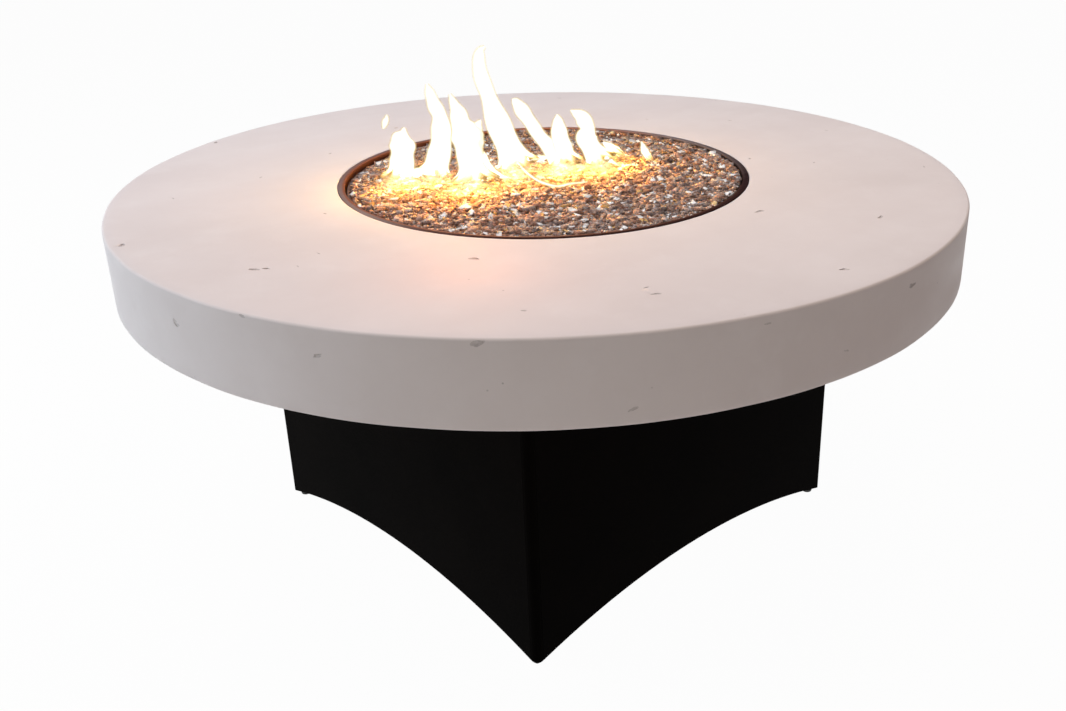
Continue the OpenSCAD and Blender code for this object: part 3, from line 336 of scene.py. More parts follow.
def bump(tree, shader, height, strength, distance):
    """Turns a height into the shader's normal."""
    node = tree.nodes.new("ShaderNodeBump")
    node.inputs["Strength"].default_value = strength
    node.inputs["Distance"].default_value = distance
    tree.links.new(height, node.inputs["Height"])
    tree.links.new(node.outputs["Normal"], shader.inputs["Normal"])


def finish(name, dark, light, cloud_scale, grain_scale, rough, depth=0.0003, lines=False, **sockets):
    """A worked finish: colour between two tones by clouds, roughness between two values by grain or
    brushed lines, and a fine bump of the same pattern."""
    material, tree, shader = new_material(name, **sockets)
    clouds = use_group(tree, CLOUDS, cloud_scale)
    pattern = use_group(tree, BRUSHED if lines else GRAIN, grain_scale)
    tree.links.new(mix_colours(tree, clouds.outputs["Mask"], dark, light), shader.inputs["Base Color"])
    tree.links.new(remap(tree, pattern.outputs["Mask"], 0.0, 1.0, *rough), shader.inputs["Roughness"])
    bump(tree, shader, pattern.outputs["Height"], 0.25, depth)
    return material


# Finishes


def cast_concrete():
    """White cast concrete: cloudy tone, faint drawn-out trowel marks, pinholes painted as dark dots of shade,
    and rough pits whose insides are painted darker as shade.
    """
    material, tree, shader = new_material("cast_concrete", Specular_IOR_Level=0.28)
    clouds = use_group(tree, CLOUDS, 5.0)
    patches = use_group(tree, CLOUDS, 19.0)
    grain = use_group(tree, GRAIN, 700.0)
    trowel = use_group(tree, BRUSHED, 26.0)
    tone = mix_colours(tree, clouds.outputs["Mask"], (0.765, 0.69, 0.68), (0.825, 0.752, 0.745))
    pale = remap(tree, patches.outputs["Mask"], 0.55, 1.0, 0.0, 0.35)
    spots = mix_colours(tree, pale, tone, (0.84, 0.775, 0.77))
    place = tree.nodes.new("ShaderNodeTexCoord")
    holes = tree.nodes.new("ShaderNodeTexVoronoi")
    holes.inputs["Scale"].default_value = 46.0
    tree.links.new(place.outputs["Object"], holes.inputs["Vector"])
    sparse = noise_node(tree, place.outputs["Object"], 1.0)
    sparse.inputs["Scale"].default_value = 30.0
    # Painted shade: the pinholes are only dark dots, no holes are cut for them
    near = remap(tree, holes.outputs["Distance"], 0.035, 0.06, 1.0, 0.0)
    few = remap(tree, sparse.outputs["Fac"], 0.60, 0.64)
    pricked = mix_colours(tree, math_node(tree, "MULTIPLY", near, few), spots, (0.56, 0.51, 0.50))
    pit = tree.nodes.new("ShaderNodeAttribute")
    pit.attribute_name = "pit"
    # Painted shade: the pit faces are painted darker than the surface, on top of the shade their depth gives
    inside = mix_colours(tree, grain.outputs["Mask"], (0.54, 0.48, 0.47), (0.70, 0.64, 0.63))
    tree.links.new(mix_colours(tree, pit.outputs["Fac"], pricked, inside), shader.inputs["Base Color"])
    tree.links.new(remap(tree, trowel.outputs["Mask"], 0.0, 1.0, 0.42, 0.58), shader.inputs["Roughness"])
    bump(tree, shader, grain.outputs["Height"], 0.18, 0.0004)
    return material


def powder_coat():
    """Black powder coat: near-black brown with a fine orange-peel skin."""
    return finish("powder_coat", (0.0010, 0.0008, 0.0007), (0.0028, 0.0020, 0.0017), 7.0, 520.0,
                  (0.46, 0.62), 0.0004, Specular_IOR_Level=0.006)


# Painted light and shade round the pan by the share of a turn, from the left side (-X) over the front (-Y): on
# the outer part of its lip, and on the lip's inner part and the wall. The dark tones at the front and the
# right are painted shade, the grey ones a painted reflection of the sky, the copper and brown ones some heat
# tint with a painted reflection of the fire
LIP_PAINTED_LIGHT = [
    (0.0, (0.24, 0.155, 0.145)), (0.14, (0.25, 0.170, 0.165)), (0.24, (0.34, 0.260, 0.240)),
    (0.30, (0.12, 0.065, 0.056)), (0.36, (0.045, 0.020, 0.016)), (0.62, (0.022, 0.014, 0.014)),
    (0.76, (0.22, 0.180, 0.180)), (0.87, (0.40, 0.160, 0.095)), (1.0, (0.24, 0.155, 0.145))]
WALL_PAINTED_LIGHT = [
    (0.0, (0.29, 0.107, 0.063)), (0.22, (0.32, 0.130, 0.078)), (0.36, (0.50, 0.238, 0.141)),
    (0.47, (0.16, 0.074, 0.048)), (0.60, (0.030, 0.019, 0.018)), (0.76, (0.25, 0.190, 0.180)),
    (0.88, (0.45, 0.170, 0.095)), (1.0, (0.29, 0.107, 0.063))]


def pan_steel_painted_light():
    """Pan steel: brushed, with painted light and shade that turns deeper and paler round the ring (painted
    shade, painted reflections of the sky and the fire, and some heat tint) and has another row of colours on
    the outer part of the lip, past a wandering line."""
    material, tree, shader = new_material("pan_steel_painted_light", Metallic=0.85, Specular_IOR_Level=0.0,
                                          Specular_Tint=(0.45, 0.40, 0.40, 1.0))
    place = tree.nodes.new("ShaderNodeTexCoord").outputs["Object"]
    round_it = tree.nodes.new("ShaderNodeTexGradient")
    round_it.gradient_type = "RADIAL"
    tree.links.new(place, round_it.inputs["Vector"])
    turn = round_it.outputs["Fac"]
    # Painted light and shade: these ramps set dark, grey and copper tones round the ring as shade and
    # reflections
    outer = ramp(tree, turn, LIP_PAINTED_LIGHT)
    inner = ramp(tree, turn, WALL_PAINTED_LIGHT)
    flat = tree.nodes.new("ShaderNodeVectorMath")
    flat.operation = "MULTIPLY"
    flat.inputs[1].default_value = (1.0, 1.0, 0.0)
    tree.links.new(place, flat.inputs[0])
    reach = tree.nodes.new("ShaderNodeVectorMath")
    reach.operation = "LENGTH"
    tree.links.new(flat.outputs["Vector"], reach.inputs[0])
    clouds = use_group(tree, CLOUDS, 30.0)
    wander = remap(tree, clouds.outputs["Mask"], 0.0, 1.0, LIP_R - 5.8 * MM, LIP_R - 4.4 * MM)
    across = math_node(tree, "SUBTRACT", reach.outputs["Value"], wander)
    mask = remap(tree, across, -0.8 * MM, 0.8 * MM)
    lines = use_group(tree, BRUSHED, 700.0)
    tree.links.new(mix_colours(tree, mask, inner, outer), shader.inputs["Base Color"])
    tree.links.new(remap(tree, lines.outputs["Mask"], 0.0, 1.0, 0.30, 0.45), shader.inputs["Roughness"])
    bump(tree, shader, lines.outputs["Height"], 0.2, 0.0003)
    return material


def chip_glass(name, stops, metallic, roughness):
    """Crushed glass: the tint of each chip comes from its own value, with grain over it. Light soaks into the
    plain kinds and is thrown back by the silvered ones."""
    material, tree, shader = new_material(
        name, Metallic=metallic, Specular_IOR_Level=0.3, Subsurface_Weight=0.0 if metallic else 0.7,
        Subsurface_Scale=0.004, Subsurface_Radius=(1.0, 0.7, 0.5))
    tint = tree.nodes.new("ShaderNodeAttribute")
    tint.attribute_name = "tint"
    grain = use_group(tree, GRAIN, 500.0)
    spread = 0.0 if metallic else 0.4
    dull, bright = ([(place, tuple(min(factor * part, 1.0) for part in colour)) for place, colour in stops]
                    for factor in (1 - spread, 1 + spread))
    speckle = remap(tree, grain.outputs["Mask"], 0.3, 0.7)
    colour = mix_colours(tree, speckle, ramp(tree, tint.outputs["Fac"], dull),
                         ramp(tree, tint.outputs["Fac"], bright))
    tree.links.new(colour, shader.inputs["Base Color"])
    tree.links.new(remap(tree, grain.outputs["Mask"], 0.0, 1.0, *roughness), shader.inputs["Roughness"])
    return material


def flame_skin(name, stops, alphas, strength):
    """One skin of a flame: colour and cover follow the rise from its foot (0) to its tip (1)."""
    material, tree, shader = new_material(name, Base_Color=(0.0, 0.0, 0.0, 1.0), Roughness=1.0,
                                          Specular_IOR_Level=0.0, Emission_Strength=strength)
    rise = tree.nodes.new("ShaderNodeAttribute")
    rise.attribute_name = "rise"
    tree.links.new(ramp(tree, rise.outputs["Fac"], stops), shader.inputs["Emission Color"])
    cover = ramp(tree, rise.outputs["Fac"], [(place, (alpha,) * 3) for place, alpha in alphas])
    tree.links.new(cover, shader.inputs["Alpha"])
    return material


CONCRETE = cast_concrete()
BLACK_STEEL = powder_coat()
PAN_STEEL = pan_steel_painted_light()
STAINLESS = finish("stainless", (0.42, 0.41, 0.40), (0.55, 0.54, 0.52), 12.0, 900.0, (0.22, 0.38),
                   lines=True, Metallic=1.0)
ZINC = finish("zinc_plate", (0.40, 0.41, 0.42), (0.58, 0.58, 0.56), 60.0, 800.0, (0.25, 0.42),
              Metallic=1.0)
BRASS = finish("plain_brass", (0.48, 0.33, 0.13), (0.66, 0.49, 0.22), 40.0, 700.0, (0.22, 0.40),
               Metallic=1.0)
COPPER = finish("drawn_copper", (0.46, 0.21, 0.10), (0.66, 0.33, 0.18), 30.0, 700.0, (0.20, 0.38),
                Metallic=1.0)
NYLON = finish("black_nylon", (0.012, 0.012, 0.012), (0.022, 0.021, 0.020), 40.0, 900.0, (0.45, 0.60))
RUBBER = finish("black_rubber", (0.010, 0.010, 0.010), (0.020, 0.019, 0.018), 40.0, 600.0, (0.65, 0.85))
JACKET = finish("silicone_jacket", (0.20, 0.030, 0.018), (0.28, 0.050, 0.030), 50.0, 800.0, (0.40, 0.55))
LAVA = finish("lava_rock", (0.012, 0.008, 0.007), (0.060, 0.040, 0.034), 45.0, 160.0, (0.80, 0.95), 0.004)
DUST = finish("glass_dust", (0.10, 0.058, 0.043), (0.20, 0.120, 0.090), 60.0, 300.0, (0.55, 0.80), 0.003)
CERAMIC = finish("white_ceramic", (0.70, 0.67, 0.62), (0.80, 0.78, 0.74), 40.0, 500.0, (0.18, 0.30))
KNOB_PLASTIC = finish("knob_plastic", (0.010, 0.010, 0.010), (0.018, 0.017, 0.016), 50.0, 1100.0,
                      (0.34, 0.48))
BUTTON_RED = finish("button_red", (0.26, 0.016, 0.010), (0.34, 0.026, 0.016), 60.0, 900.0, (0.22, 0.34))
CELL_WRAP = finish("cell_wrap", (0.34, 0.22, 0.05), (0.44, 0.30, 0.08), 60.0, 900.0, (0.25, 0.38),
                   Metallic=0.6)

DRESSING = {
    "black_powder_coat": BLACK_STEEL,
    "foot_plastic": NYLON,
    "zinc_steel": ZINC,
    "stainless": STAINLESS,
    "pan_steel": PAN_STEEL,
    "brass": BRASS,
    "copper_pipe": COPPER,
    "rubber": RUBBER,
    "lead_jacket": JACKET,
    "lava_rock": LAVA,
    "electrode_ceramic": CERAMIC,
    "black_plastic": KNOB_PLASTIC,
    "button_plastic": BUTTON_RED,
    "battery_wrap": CELL_WRAP,
    "concrete": CONCRETE,
}


def dress_nodes():
    """Gives every carried-over CAD node the finish of its material slot."""
    for entry in frame["record"]["subparts"]:
        material = DRESSING.get(entry["material_slot"])
        if material is not None:
            mesh = nodes[entry["node"]].data
            mesh.materials.clear()
            mesh.materials.append(material)


# Cast top

# Pits that show in the cast: angle round the top (degrees) and radius, and length (mm)
SURFACE_PITS = np.array([
    (-154.7, 521, 7), (-154.7, 328, 5), (-133.2, 369, 6), (-121.8, 460, 6), (-100.6, 299, 5),
    (-102.5, 519, 9), (-82.3, 448, 9), (-81.3, 439, 7), (-78.4, 417, 5), (-80.3, 378, 5), (-54.0, 331, 10),
    (-43.6, 469, 5), (111.4, 344, 5), (93.8, 405, 6), (75.1, 469, 5), (53.0, 362, 5), (48.1, 502, 7),
    (59.9, 284, 6), (12.1, 310, 10), (19.0, 441, 11), (-3.3, 488, 8), (-28.1, 430, 6), (-27.6, 449, 10),
    (160.0, 430, 7), (178.0, 360, 6), (136.0, 480, 7)])
# Pits in the apron and along its upper edge: angle round the top (degrees), depth under the surface and
# length (mm)
APRON_PITS = np.array([
    (-83.9, 33, 11), (-63.9, 28, 8), (-33.0, 75, 9), (-8.1, 61, 8), (2.9, 20, 11), (-81.8, 3, 7),
    (-72.7, 2, 8), (-47.6, 4, 10), (-18.9, 10, 10), (40.0, 46, 9), (63.0, 24, 7), (88.0, 71, 10),
    (112.0, 36, 8), (139.0, 3, 9), (165.0, 56, 10), (190.0, 26, 8), (214.0, 76, 9), (236.0, 6, 8)])

# Wall of the cast, step for the pan's lip, rounding of the outer edges and of the opening's brim, and the
# slope under the slab
SLAB = 28.0 * MM
LEDGE = 3.0 * MM
EDGE_R = 3.0 * MM
BRIM_R = 0.8 * MM
FILLET = 14.0 * MM


def cast_profile():
    """Section of the top as a closed loop of radius and height: along the surface, round the edge, down the
    apron, back under the slab and up the burner opening."""
    hole, opening = LIP_R - 6.0 * MM, LIP_R + 0.5 * MM
    ledge, deck, wall = TABLE_Z - LEDGE, TABLE_Z - SLAB, TOP_R - SLAB
    return np.vstack([
        line((hole, ledge), (opening, ledge), 2),
        line((opening, ledge), (opening, TABLE_Z - BRIM_R), 2),
        arc((opening + BRIM_R, TABLE_Z - BRIM_R), BRIM_R, 180, 90, 4),
        line((opening + 4.0 * MM, TABLE_Z), (TOP_R - EDGE_R, TABLE_Z), 26),
        arc((TOP_R - EDGE_R, TABLE_Z - EDGE_R), EDGE_R, 90, 0, 7),
        line((TOP_R, TABLE_Z - EDGE_R - 2.0 * MM), (TOP_R, APRON_Z + EDGE_R), 9),
        arc((TOP_R - EDGE_R, APRON_Z + EDGE_R), EDGE_R, 0, -90, 5),
        line((wall, APRON_Z), (wall, deck - FILLET), 4),
        line((wall, deck - FILLET), (wall - FILLET, deck), 3),
        line((wall - FILLET, deck), (hole, deck), 8),
        line((hole, deck), (hole, ledge), 2)])


def pit_cutters():
    """Closed lumps that are cut out of the cast: flattened balls whose surface is pushed in and out by
    waves, each laid on the surface with its own turn. Gives their points and triangles."""
    unit, faces = ball(7, 14)
    angle = np.radians(np.concatenate([SURFACE_PITS[:, 0], APRON_PITS[:, 0]]))
    out = np.stack([np.cos(angle), np.sin(angle), np.zeros_like(angle)], 1)
    side = np.stack([-np.sin(angle), np.cos(angle), np.zeros_like(angle)], 1)
    up = np.tile([0.0, 0.0, 1.0], (len(angle), 1))
    flat = len(SURFACE_PITS)
    radius = np.concatenate([SURFACE_PITS[:, 1] * MM, np.full(len(APRON_PITS), TOP_R)])
    height = np.concatenate([np.full(flat, TABLE_Z), TABLE_Z - APRON_PITS[:, 1] * MM])
    centre = out * radius[:, None] + up * height[:, None]
    lies_flat = np.arange(len(angle))[:, None] < flat
    normal = np.where(lies_flat, up, out)
    other = np.where(lies_flat, out, up)
    turn = rng.uniform(-0.5, 0.5, len(angle))[:, None]
    first = side * np.cos(turn) + other * np.sin(turn)
    second = np.cross(normal, first)
    length = np.concatenate([SURFACE_PITS[:, 2], APRON_PITS[:, 2]]) * MM * 0.62
    width = length * rng.uniform(0.28, 0.6, len(length))
    depth = np.minimum(width, length) * rng.uniform(0.34, 0.52, len(length))
    wave = np.ones((len(length), len(unit)))
    for _ in range(5):
        axis = rng.normal(size=(len(length), 3))
        phase = rng.uniform(0, 6.3, (len(length), 1))
        wave += 0.13 * np.sin(np.einsum("pk,nk->pn", axis, unit) * 3.1 + phase)
    local = unit[None] * wave[..., None]
    points = (centre[:, None] + local[..., :1] * (first * length[:, None])[:, None]
              + local[..., 1:2] * (second * width[:, None])[:, None]
              + local[..., 2:] * (normal * depth[:, None])[:, None])
    return points.reshape(-1, 3), repeated(faces, len(length), len(unit))


def make_top():
    """The cast top: its section carried round in a circle, slightly uneven by a few slow waves, minus the
    pits."""
    section = cast_profile()
    turns = 540
    a = np.linspace(0, 2 * np.pi, turns, endpoint=False)[:, None]
    uneven = (0.35 * np.sin(5 * a + 0.4) + 0.25 * np.sin(11 * a + 1.9) + 0.2 * np.sin(23 * a + 0.7)
              + 0.1 * np.sin(41 * a))
    outer = np.clip((section[:, 0] - LIP_R - 0.05) / 0.2, 0, 1)[None]
    r = section[None, :, 0] + uneven * MM * 0.8 * outer - 0.4 * MM * outer
    z = section[None, :, 1] + MM * 0.18 * np.sin(3 * a + 31 * section[None, :, 0]) * outer
    points = np.stack([r * np.cos(a), r * np.sin(a), z], -1).reshape(-1, 3)
    quads = grid_faces(turns, len(section), True, True)[:, ::-1]
    mesh = mesh_of("cast_top", points, quads)
    add_values(mesh, "pit", np.zeros(len(quads)), "FACE")
    top = piece("cast_top", mesh, CONCRETE)
    lumps, lump_faces = pit_cutters()
    cutter_mesh = mesh_of("pits", lumps, lump_faces)
    add_values(cutter_mesh, "pit", np.ones(len(lump_faces)), "FACE")
    cutter = linked("pits", cutter_mesh)
    cut = top.modifiers.new("pits", "BOOLEAN")
    cut.operation = "DIFFERENCE"
    cut.solver = "EXACT"
    cut.object = cutter
    shaped = top.evaluated_get(bpy.context.evaluated_depsgraph_get())
    cut_mesh = bpy.data.meshes.new_from_object(shaped)
    top.modifiers.clear()
    top.data = cut_mesh
    bpy.data.objects.remove(cutter)
    smooth(cut_mesh, 28)
    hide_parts("table_top")
    make_ribs()


def make_ribs():
    """Ribs under the slab: boxes with softened edges between the base's corners and the apron, let a little
    into the slab and the apron."""
    start, end = 401.6 * MM, TOP_R - SLAB + 0.5 * MM
    low, high = TABLE_Z - 54.0 * MM, TABLE_Z - SLAB + 1.0 * MM
    half = 10.0 * MM
    corner = np.array([(x, y, z) for x in (start, end) for y in (-half, half) for z in (low, high)])
    box = np.array([(0, 1, 3, 2), (4, 6, 7, 5), (0, 4, 5, 1), (2, 3, 7, 6), (0, 2, 6, 4), (1, 5, 7, 3)])
    angle = np.radians(22.5 + 45.0 * np.arange(8))
    points = np.einsum("nij,pj->npi", turn_about(2, angle), corner).reshape(-1, 3)
    faces = repeated(box, len(angle), len(corner))
    mesh = mesh_of("cast_ribs", points, faces)
    add_values(mesh, "pit", np.zeros(len(faces)), "FACE")
    ribs = piece("cast_ribs", mesh, CONCRETE)
    soft = ribs.modifiers.new("soft_edges", "BEVEL")
    soft.width = 3.0 * MM
    soft.segments = 2


# Fire glass

# Kinds of chip: share of the bed, colours from the least to the greatest tint, metallic, range of roughness
CHIP_KINDS = {
    "brown": (0.57, [(0.0, (0.17, 0.095, 0.070)), (0.5, (0.28, 0.165, 0.125)), (1.0, (0.44, 0.30, 0.235))],
              0.0, (0.40, 0.65)),
    "smoke": (0.33, [(0.0, (0.13, 0.094, 0.088)), (0.5, (0.23, 0.178, 0.172)), (1.0, (0.44, 0.375, 0.365))],
              0.0, (0.34, 0.60)),
    "mirror": (0.08, [(0.0, (0.66, 0.64, 0.64)), (0.5, (0.90, 0.89, 0.90)), (1.0, (0.98, 0.98, 1.0))],
               0.65, (0.08, 0.26)),
    # Painted reflection: these chips' gold colour stands for the fire reflected in the glass, scattered over
    # the bed
    "painted_fire_glint": (0.02, [(0.0, (0.36, 0.19, 0.07)), (0.6, (0.66, 0.40, 0.15)), (1.0, (0.86, 0.62, 0.30))],
             0.6, (0.15, 0.30)),
}

# Middle, least and greatest size of a chip, and the greatest of a shining one
CHIP_SIZE = 5.2 * MM
CHIP_LEAST = 2.6 * MM
CHIP_MOST = 13.0 * MM
FLAKE_MOST = 9.5 * MM
# Room that the chips' middles and their corners leave at the wall, where the glass isn't banked up
RIM_GAP = 7.0 * MM
WALL_GAP = 3.5 * MM
BANK_HEIGHT = 2.6 * MM


def bed_height(x, y):
    """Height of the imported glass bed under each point: a ray straight down onto its upper side."""
    mesh = nodes["fire_glass"].data
    corners = np.empty(len(mesh.vertices) * 3, np.float32)
    mesh.vertices.foreach_get("co", corners)
    faces = np.empty(len(mesh.loops), np.int32)
    mesh.loops.foreach_get("vertex_index", faces)
    tree = BVHTree.FromPolygons(corners.reshape(-1, 3).tolist(), faces.reshape(-1, 3).tolist())
    down = Vector((0, 0, -1))
    hits = [tree.ray_cast(Vector((px, py, TABLE_Z + 0.1)), down)[0] for px, py in zip(x, y)]
    return np.array([GLASS_Z if hit is None else hit.z for hit in hits])


def banked(x, y):
    """How far the glass is banked up against the wall: fully at the far right of the pan (1), not at the near
    left (0)."""
    return np.clip(0.3 + 0.9 * y / np.maximum(np.hypot(x, y), 1e-6), 0, 1)


def near_wall(x, y, begin, end):
    """How near the wall a point is: 0 at a distance of begin from the glass's rim, 1 at a distance of end."""
    return np.clip((np.hypot(x, y) - GLASS_R + begin) / (begin - end), 0, 1)


def chip_layer(spacing, height, spread):
    """Places for one layer of chips: a triangular grid inside the pan, shaken about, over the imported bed."""
    count = int(2 * GLASS_R / spacing) + 3
    i, j = np.meshgrid(np.arange(count), np.arange(int(count * 1.16)))
    x = (i.ravel() + 0.5 * (j.ravel() % 2) - count / 2) * spacing
    y = (j.ravel() - count * 0.58) * spacing * 0.866
    x = x + rng.uniform(-0.42, 0.42, x.shape) * spacing
    y = y + rng.uniform(-0.42, 0.42, y.shape) * spacing
    inside = np.hypot(x, y) < GLASS_R - RIM_GAP * (1 - 0.55 * banked(x, y))
    x, y = x[inside], y[inside]
    bank = BANK_HEIGHT * near_wall(x, y, 16 * MM, 6 * MM) * banked(x, y)
    z = bed_height(x, y) + height + rng.uniform(-spread, spread, x.shape) + bank
    return np.stack([x, y, z], 1)


def laid_turns(count):
    """Turns of loose shards: any way round in the plane, then tilted by some 20 degrees towards any side."""
    spin = rng.uniform(0, 6.283, count)
    lean = rng.normal(0.0, 0.36, count)
    side = rng.uniform(0, 6.283, count)
    return turn_about(2, side) @ turn_about(0, lean) @ turn_about(2, spin)


def make_chips():
    """Crushed glass: six-sided shards with jolted corners, each of its own size and lie, in four kinds."""
    upper = chip_layer(4.5 * MM, -0.6 * MM, 1.2 * MM)
    lower = chip_layer(5.8 * MM, -3.8 * MM, 1.2 * MM)
    place = np.vstack([upper, lower])
    count = len(place)
    corner = np.array([(x, y, z) for x in (-1, 1) for y in (-1, 1) for z in (-1, 1)], float) * 0.5
    box = np.array([(0, 1, 3), (0, 3, 2), (4, 6, 7), (4, 7, 5), (0, 4, 5), (0, 5, 1),
                    (2, 3, 7), (2, 7, 6), (0, 2, 6), (0, 6, 4), (1, 5, 7), (1, 7, 3)])
    jolt = rng.uniform(-0.26, 0.26, (count, 8, 3))
    kind = rng.choice(len(CHIP_KINDS), count, p=[row[0] for row in CHIP_KINDS.values()])
    size = np.clip(rng.lognormal(math.log(CHIP_SIZE), 0.36, count), CHIP_LEAST, CHIP_MOST)
    size = np.where(kind >= 2, np.minimum(1.25 * size, FLAKE_MOST), size)
    width = rng.uniform(0.5, 1.0, count)
    thickness = rng.uniform(0.28, 0.6, count)
    extent = np.stack([np.ones(count), width, thickness], 1) * size[:, None]
    local = (corner[None] + jolt) * extent[:, None]
    points = np.einsum("nij,npj->npi", laid_turns(count), local) + place[:, None]
    reach = np.hypot(points[..., 0], points[..., 1])
    limit = GLASS_R - WALL_GAP * (1 - banked(points[..., 0], points[..., 1]))
    points[..., :2] *= np.minimum(1.0, limit / np.maximum(reach, 1e-6))[..., None]
    points[..., 2] = np.minimum(points[..., 2], GLASS_Z + 4.5 * MM)
    tint = rng.uniform(0, 1, count)
    for index, (name, (_, stops, metallic, roughness)) in enumerate(CHIP_KINDS.items()):
        chosen = np.flatnonzero(kind == index)
        faces = repeated(box, len(chosen), len(corner))
        mesh = mesh_of(f"glass_{name}", points[chosen].reshape(-1, 3), faces)
        add_values(mesh, "tint", np.repeat(tint[chosen], len(corner)))
        material = chip_glass(f"glass_{name}", stops, metallic, roughness)
        made = piece(f"glass_{name}", mesh, material)
        if name == "brown":
            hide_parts("fire_glass")
    make_bed()


def make_bed():
    """Ground under the chips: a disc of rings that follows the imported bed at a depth, rises at the wall and
    is broken up at random."""
    rings, turns = 60, 180
    r = np.linspace(0.002, GLASS_R - 0.002, rings)[:, None]
    a = np.linspace(0, 2 * np.pi, turns, endpoint=False)[None]
    x, y = (r * np.cos(a)).ravel(), (r * np.sin(a)).ravel()
    rim = near_wall(x, y, 13 * MM, 4 * MM)
    rough = rng.uniform(-1.2, 1.2, x.shape) * (1 - 0.6 * rim)
    z = bed_height(x, y) + (rough + 5.0 * rim - 6.5) * MM
    mesh = mesh_of("glass_ground", np.stack([x, y, z], 1), grid_faces(rings, turns, False, True))
    piece("glass_ground", mesh, DUST)


# Flames

# Middle line of each tongue and its half width, in millimetres: x, y, height over the glass, half width.
# The first ten stand on the glass or on another tongue, the next is loose, and the last five are low webs.
TONGUES = [
    [(-125, -140, 0, 20.0), (-124, -139, 10, 16.6), (-122, -137, 28, 14.8), (-121, -136, 42, 15.9),
     (-121, -136, 52, 13.2), (-119, -134, 60, 5.3), (-118, -133, 66, 1.1)],
    [(-104, -102, 0, 19.5), (-100, -98, 20, 15.0), (-96, -94, 41, 13.9), (-94, -93, 63, 12.2),
     (-95, -94, 80, 9.5), (-99, -98, 93, 8.5), (-102, -101, 108, 5.8), (-104, -103, 119, 1.1)],
    [(-48, -80, 0, 24.5), (-50, -82, 21, 16.4), (-51, -83, 39, 17.4), (-53, -84, 58, 19.8),
     (-57, -89, 74, 13.1), (-59, -91, 88, 9.8), (-62, -94, 99, 5.7), (-65, -97, 111, 1.0)],
    [(-48, -79, 36, 11.6), (-46, -77, 58, 11.6), (-43, -74, 70, 6.3), (-39, -71, 78, 1.0)],
    [(-57, 0, 0, 25.0), (-64, -6, 24, 17.5), (-71, -14, 51, 16.9), (-77, -20, 76, 13.6),
     (-82, -25, 100, 9.6), (-87, -30, 123, 9.6), (-88, -31, 142, 7.5), (-86, -29, 154, 4.7),
     (-82, -25, 159, 1.0)],
    [(-28, 54, 0, 16.7), (-37, 44, 20, 11.6), (-48, 33, 38, 8.8), (-57, 25, 57, 8.8),
     (-65, 17, 74, 9.2), (-70, 12, 84, 5.5), (-72, 8, 88, 0.8)],
    [(-24, 57, 0, 20.0), (-27, 54, 19, 14.5), (-29, 52, 38, 11.6), (-30, 51, 54, 8.3),
     (-31, 51, 63, 3.9), (-31, 50, 67, 0.8)],
    [(11, 91, 0, 18.5), (2, 83, 19, 13.4), (-3, 77, 35, 13.8), (-2, 78, 49, 9.8),
     (-7, 73, 63, 9.8), (-13, 67, 69, 4.9), (-17, 62, 73, 0.8)],
    [(9, 139, 0, 1.2), (4, 134, 4, 5.1), (-2, 128, 9, 6.9), (-8, 122, 15, 5.7),
     (-13, 117, 21, 1.4)],
    [(52, 150, 0, 1.8), (46, 145, 7, 4.7), (43, 141, 15, 5.1), (42, 139, 22, 2.8),
     (40, 138, 27, 0.8)],
    [(-159, -138, 59, 0.8), (-157, -137, 64, 2.9), (-156, -136, 68, 3.7), (-155, -134, 73, 2.4),
     (-154, -134, 77, 0.6)],
    [(-67, 8, 3, 2.3), (-17, -17, 3, 2.1), (26, -32, 3, 1.9), (56, -31, 3, 1.6),
     (61, -11, 3, 1.6), (70, 10, 3, 0.4)],
    [(-65, 25, 3, 6.1), (-62, 40, 3, 5.1), (-56, 52, 3, 3.7), (-36, 53, 3, 0.8)],
    [(-127, -4, 3, 8.5), (-68, -37, 3, 6.1), (-30, -50, 3, 3.7), (-16, -46, 3, 0.8)],
    [(-28, 121, 3, 6.9), (6, 106, 3, 5.1), (42, 93, 3, 0.8)],
    [(-125, -140, 7, 9.0), (-114, -121, 5, 7.0), (-104, -102, 7, 9.0)],
]

# Tongues whose feet glow on the glass
LIT_TONGUES = TONGUES[:9]

FLAME_RINGS = 36
FLAME_SIDES = 28

# Skins of a flame from the outside in: how far it is widened (mm), colours and cover by rise, and strength
FLAME_SKINS = {
    "flame_edge": (2.1, [(0.0, (1.0, 0.50, 0.10)), (0.3, (1.0, 0.70, 0.28)), (1.0, (1.0, 0.76, 0.36))],
                   [(0.0, 0.0), (0.08, 0.0), (0.2, 0.10), (1.0, 0.10)], 1.0),
    "flame_mantle": (1.1, [(0.0, (1.0, 0.56, 0.14)), (0.25, (1.0, 0.82, 0.42)), (1.0, (1.0, 0.86, 0.50))],
                     [(0.0, 0.0), (0.08, 0.0), (0.2, 0.22), (1.0, 0.22)], 1.0),
    "flame_body": (0.0, [(0.0, (1.0, 0.60, 0.16)), (0.12, (1.0, 0.90, 0.50)), (0.2, (1.0, 0.97, 0.84))],
                   [(0.0, 0.0), (0.06, 0.0), (0.12, 0.30), (0.2, 0.62)], 1.3),
    "flame_heart": (-1.4, [(0.0, (1.0, 0.44, 0.06)), (0.04, (1.0, 0.62, 0.16)), (0.08, (1.0, 0.90, 0.46)),
                           (0.14, (1.0, 0.99, 0.92))],
                    [(0.0, 0.0), (0.03, 0.10), (0.07, 0.32), (0.11, 0.75), (0.15, 1.0)], 3.4),
}


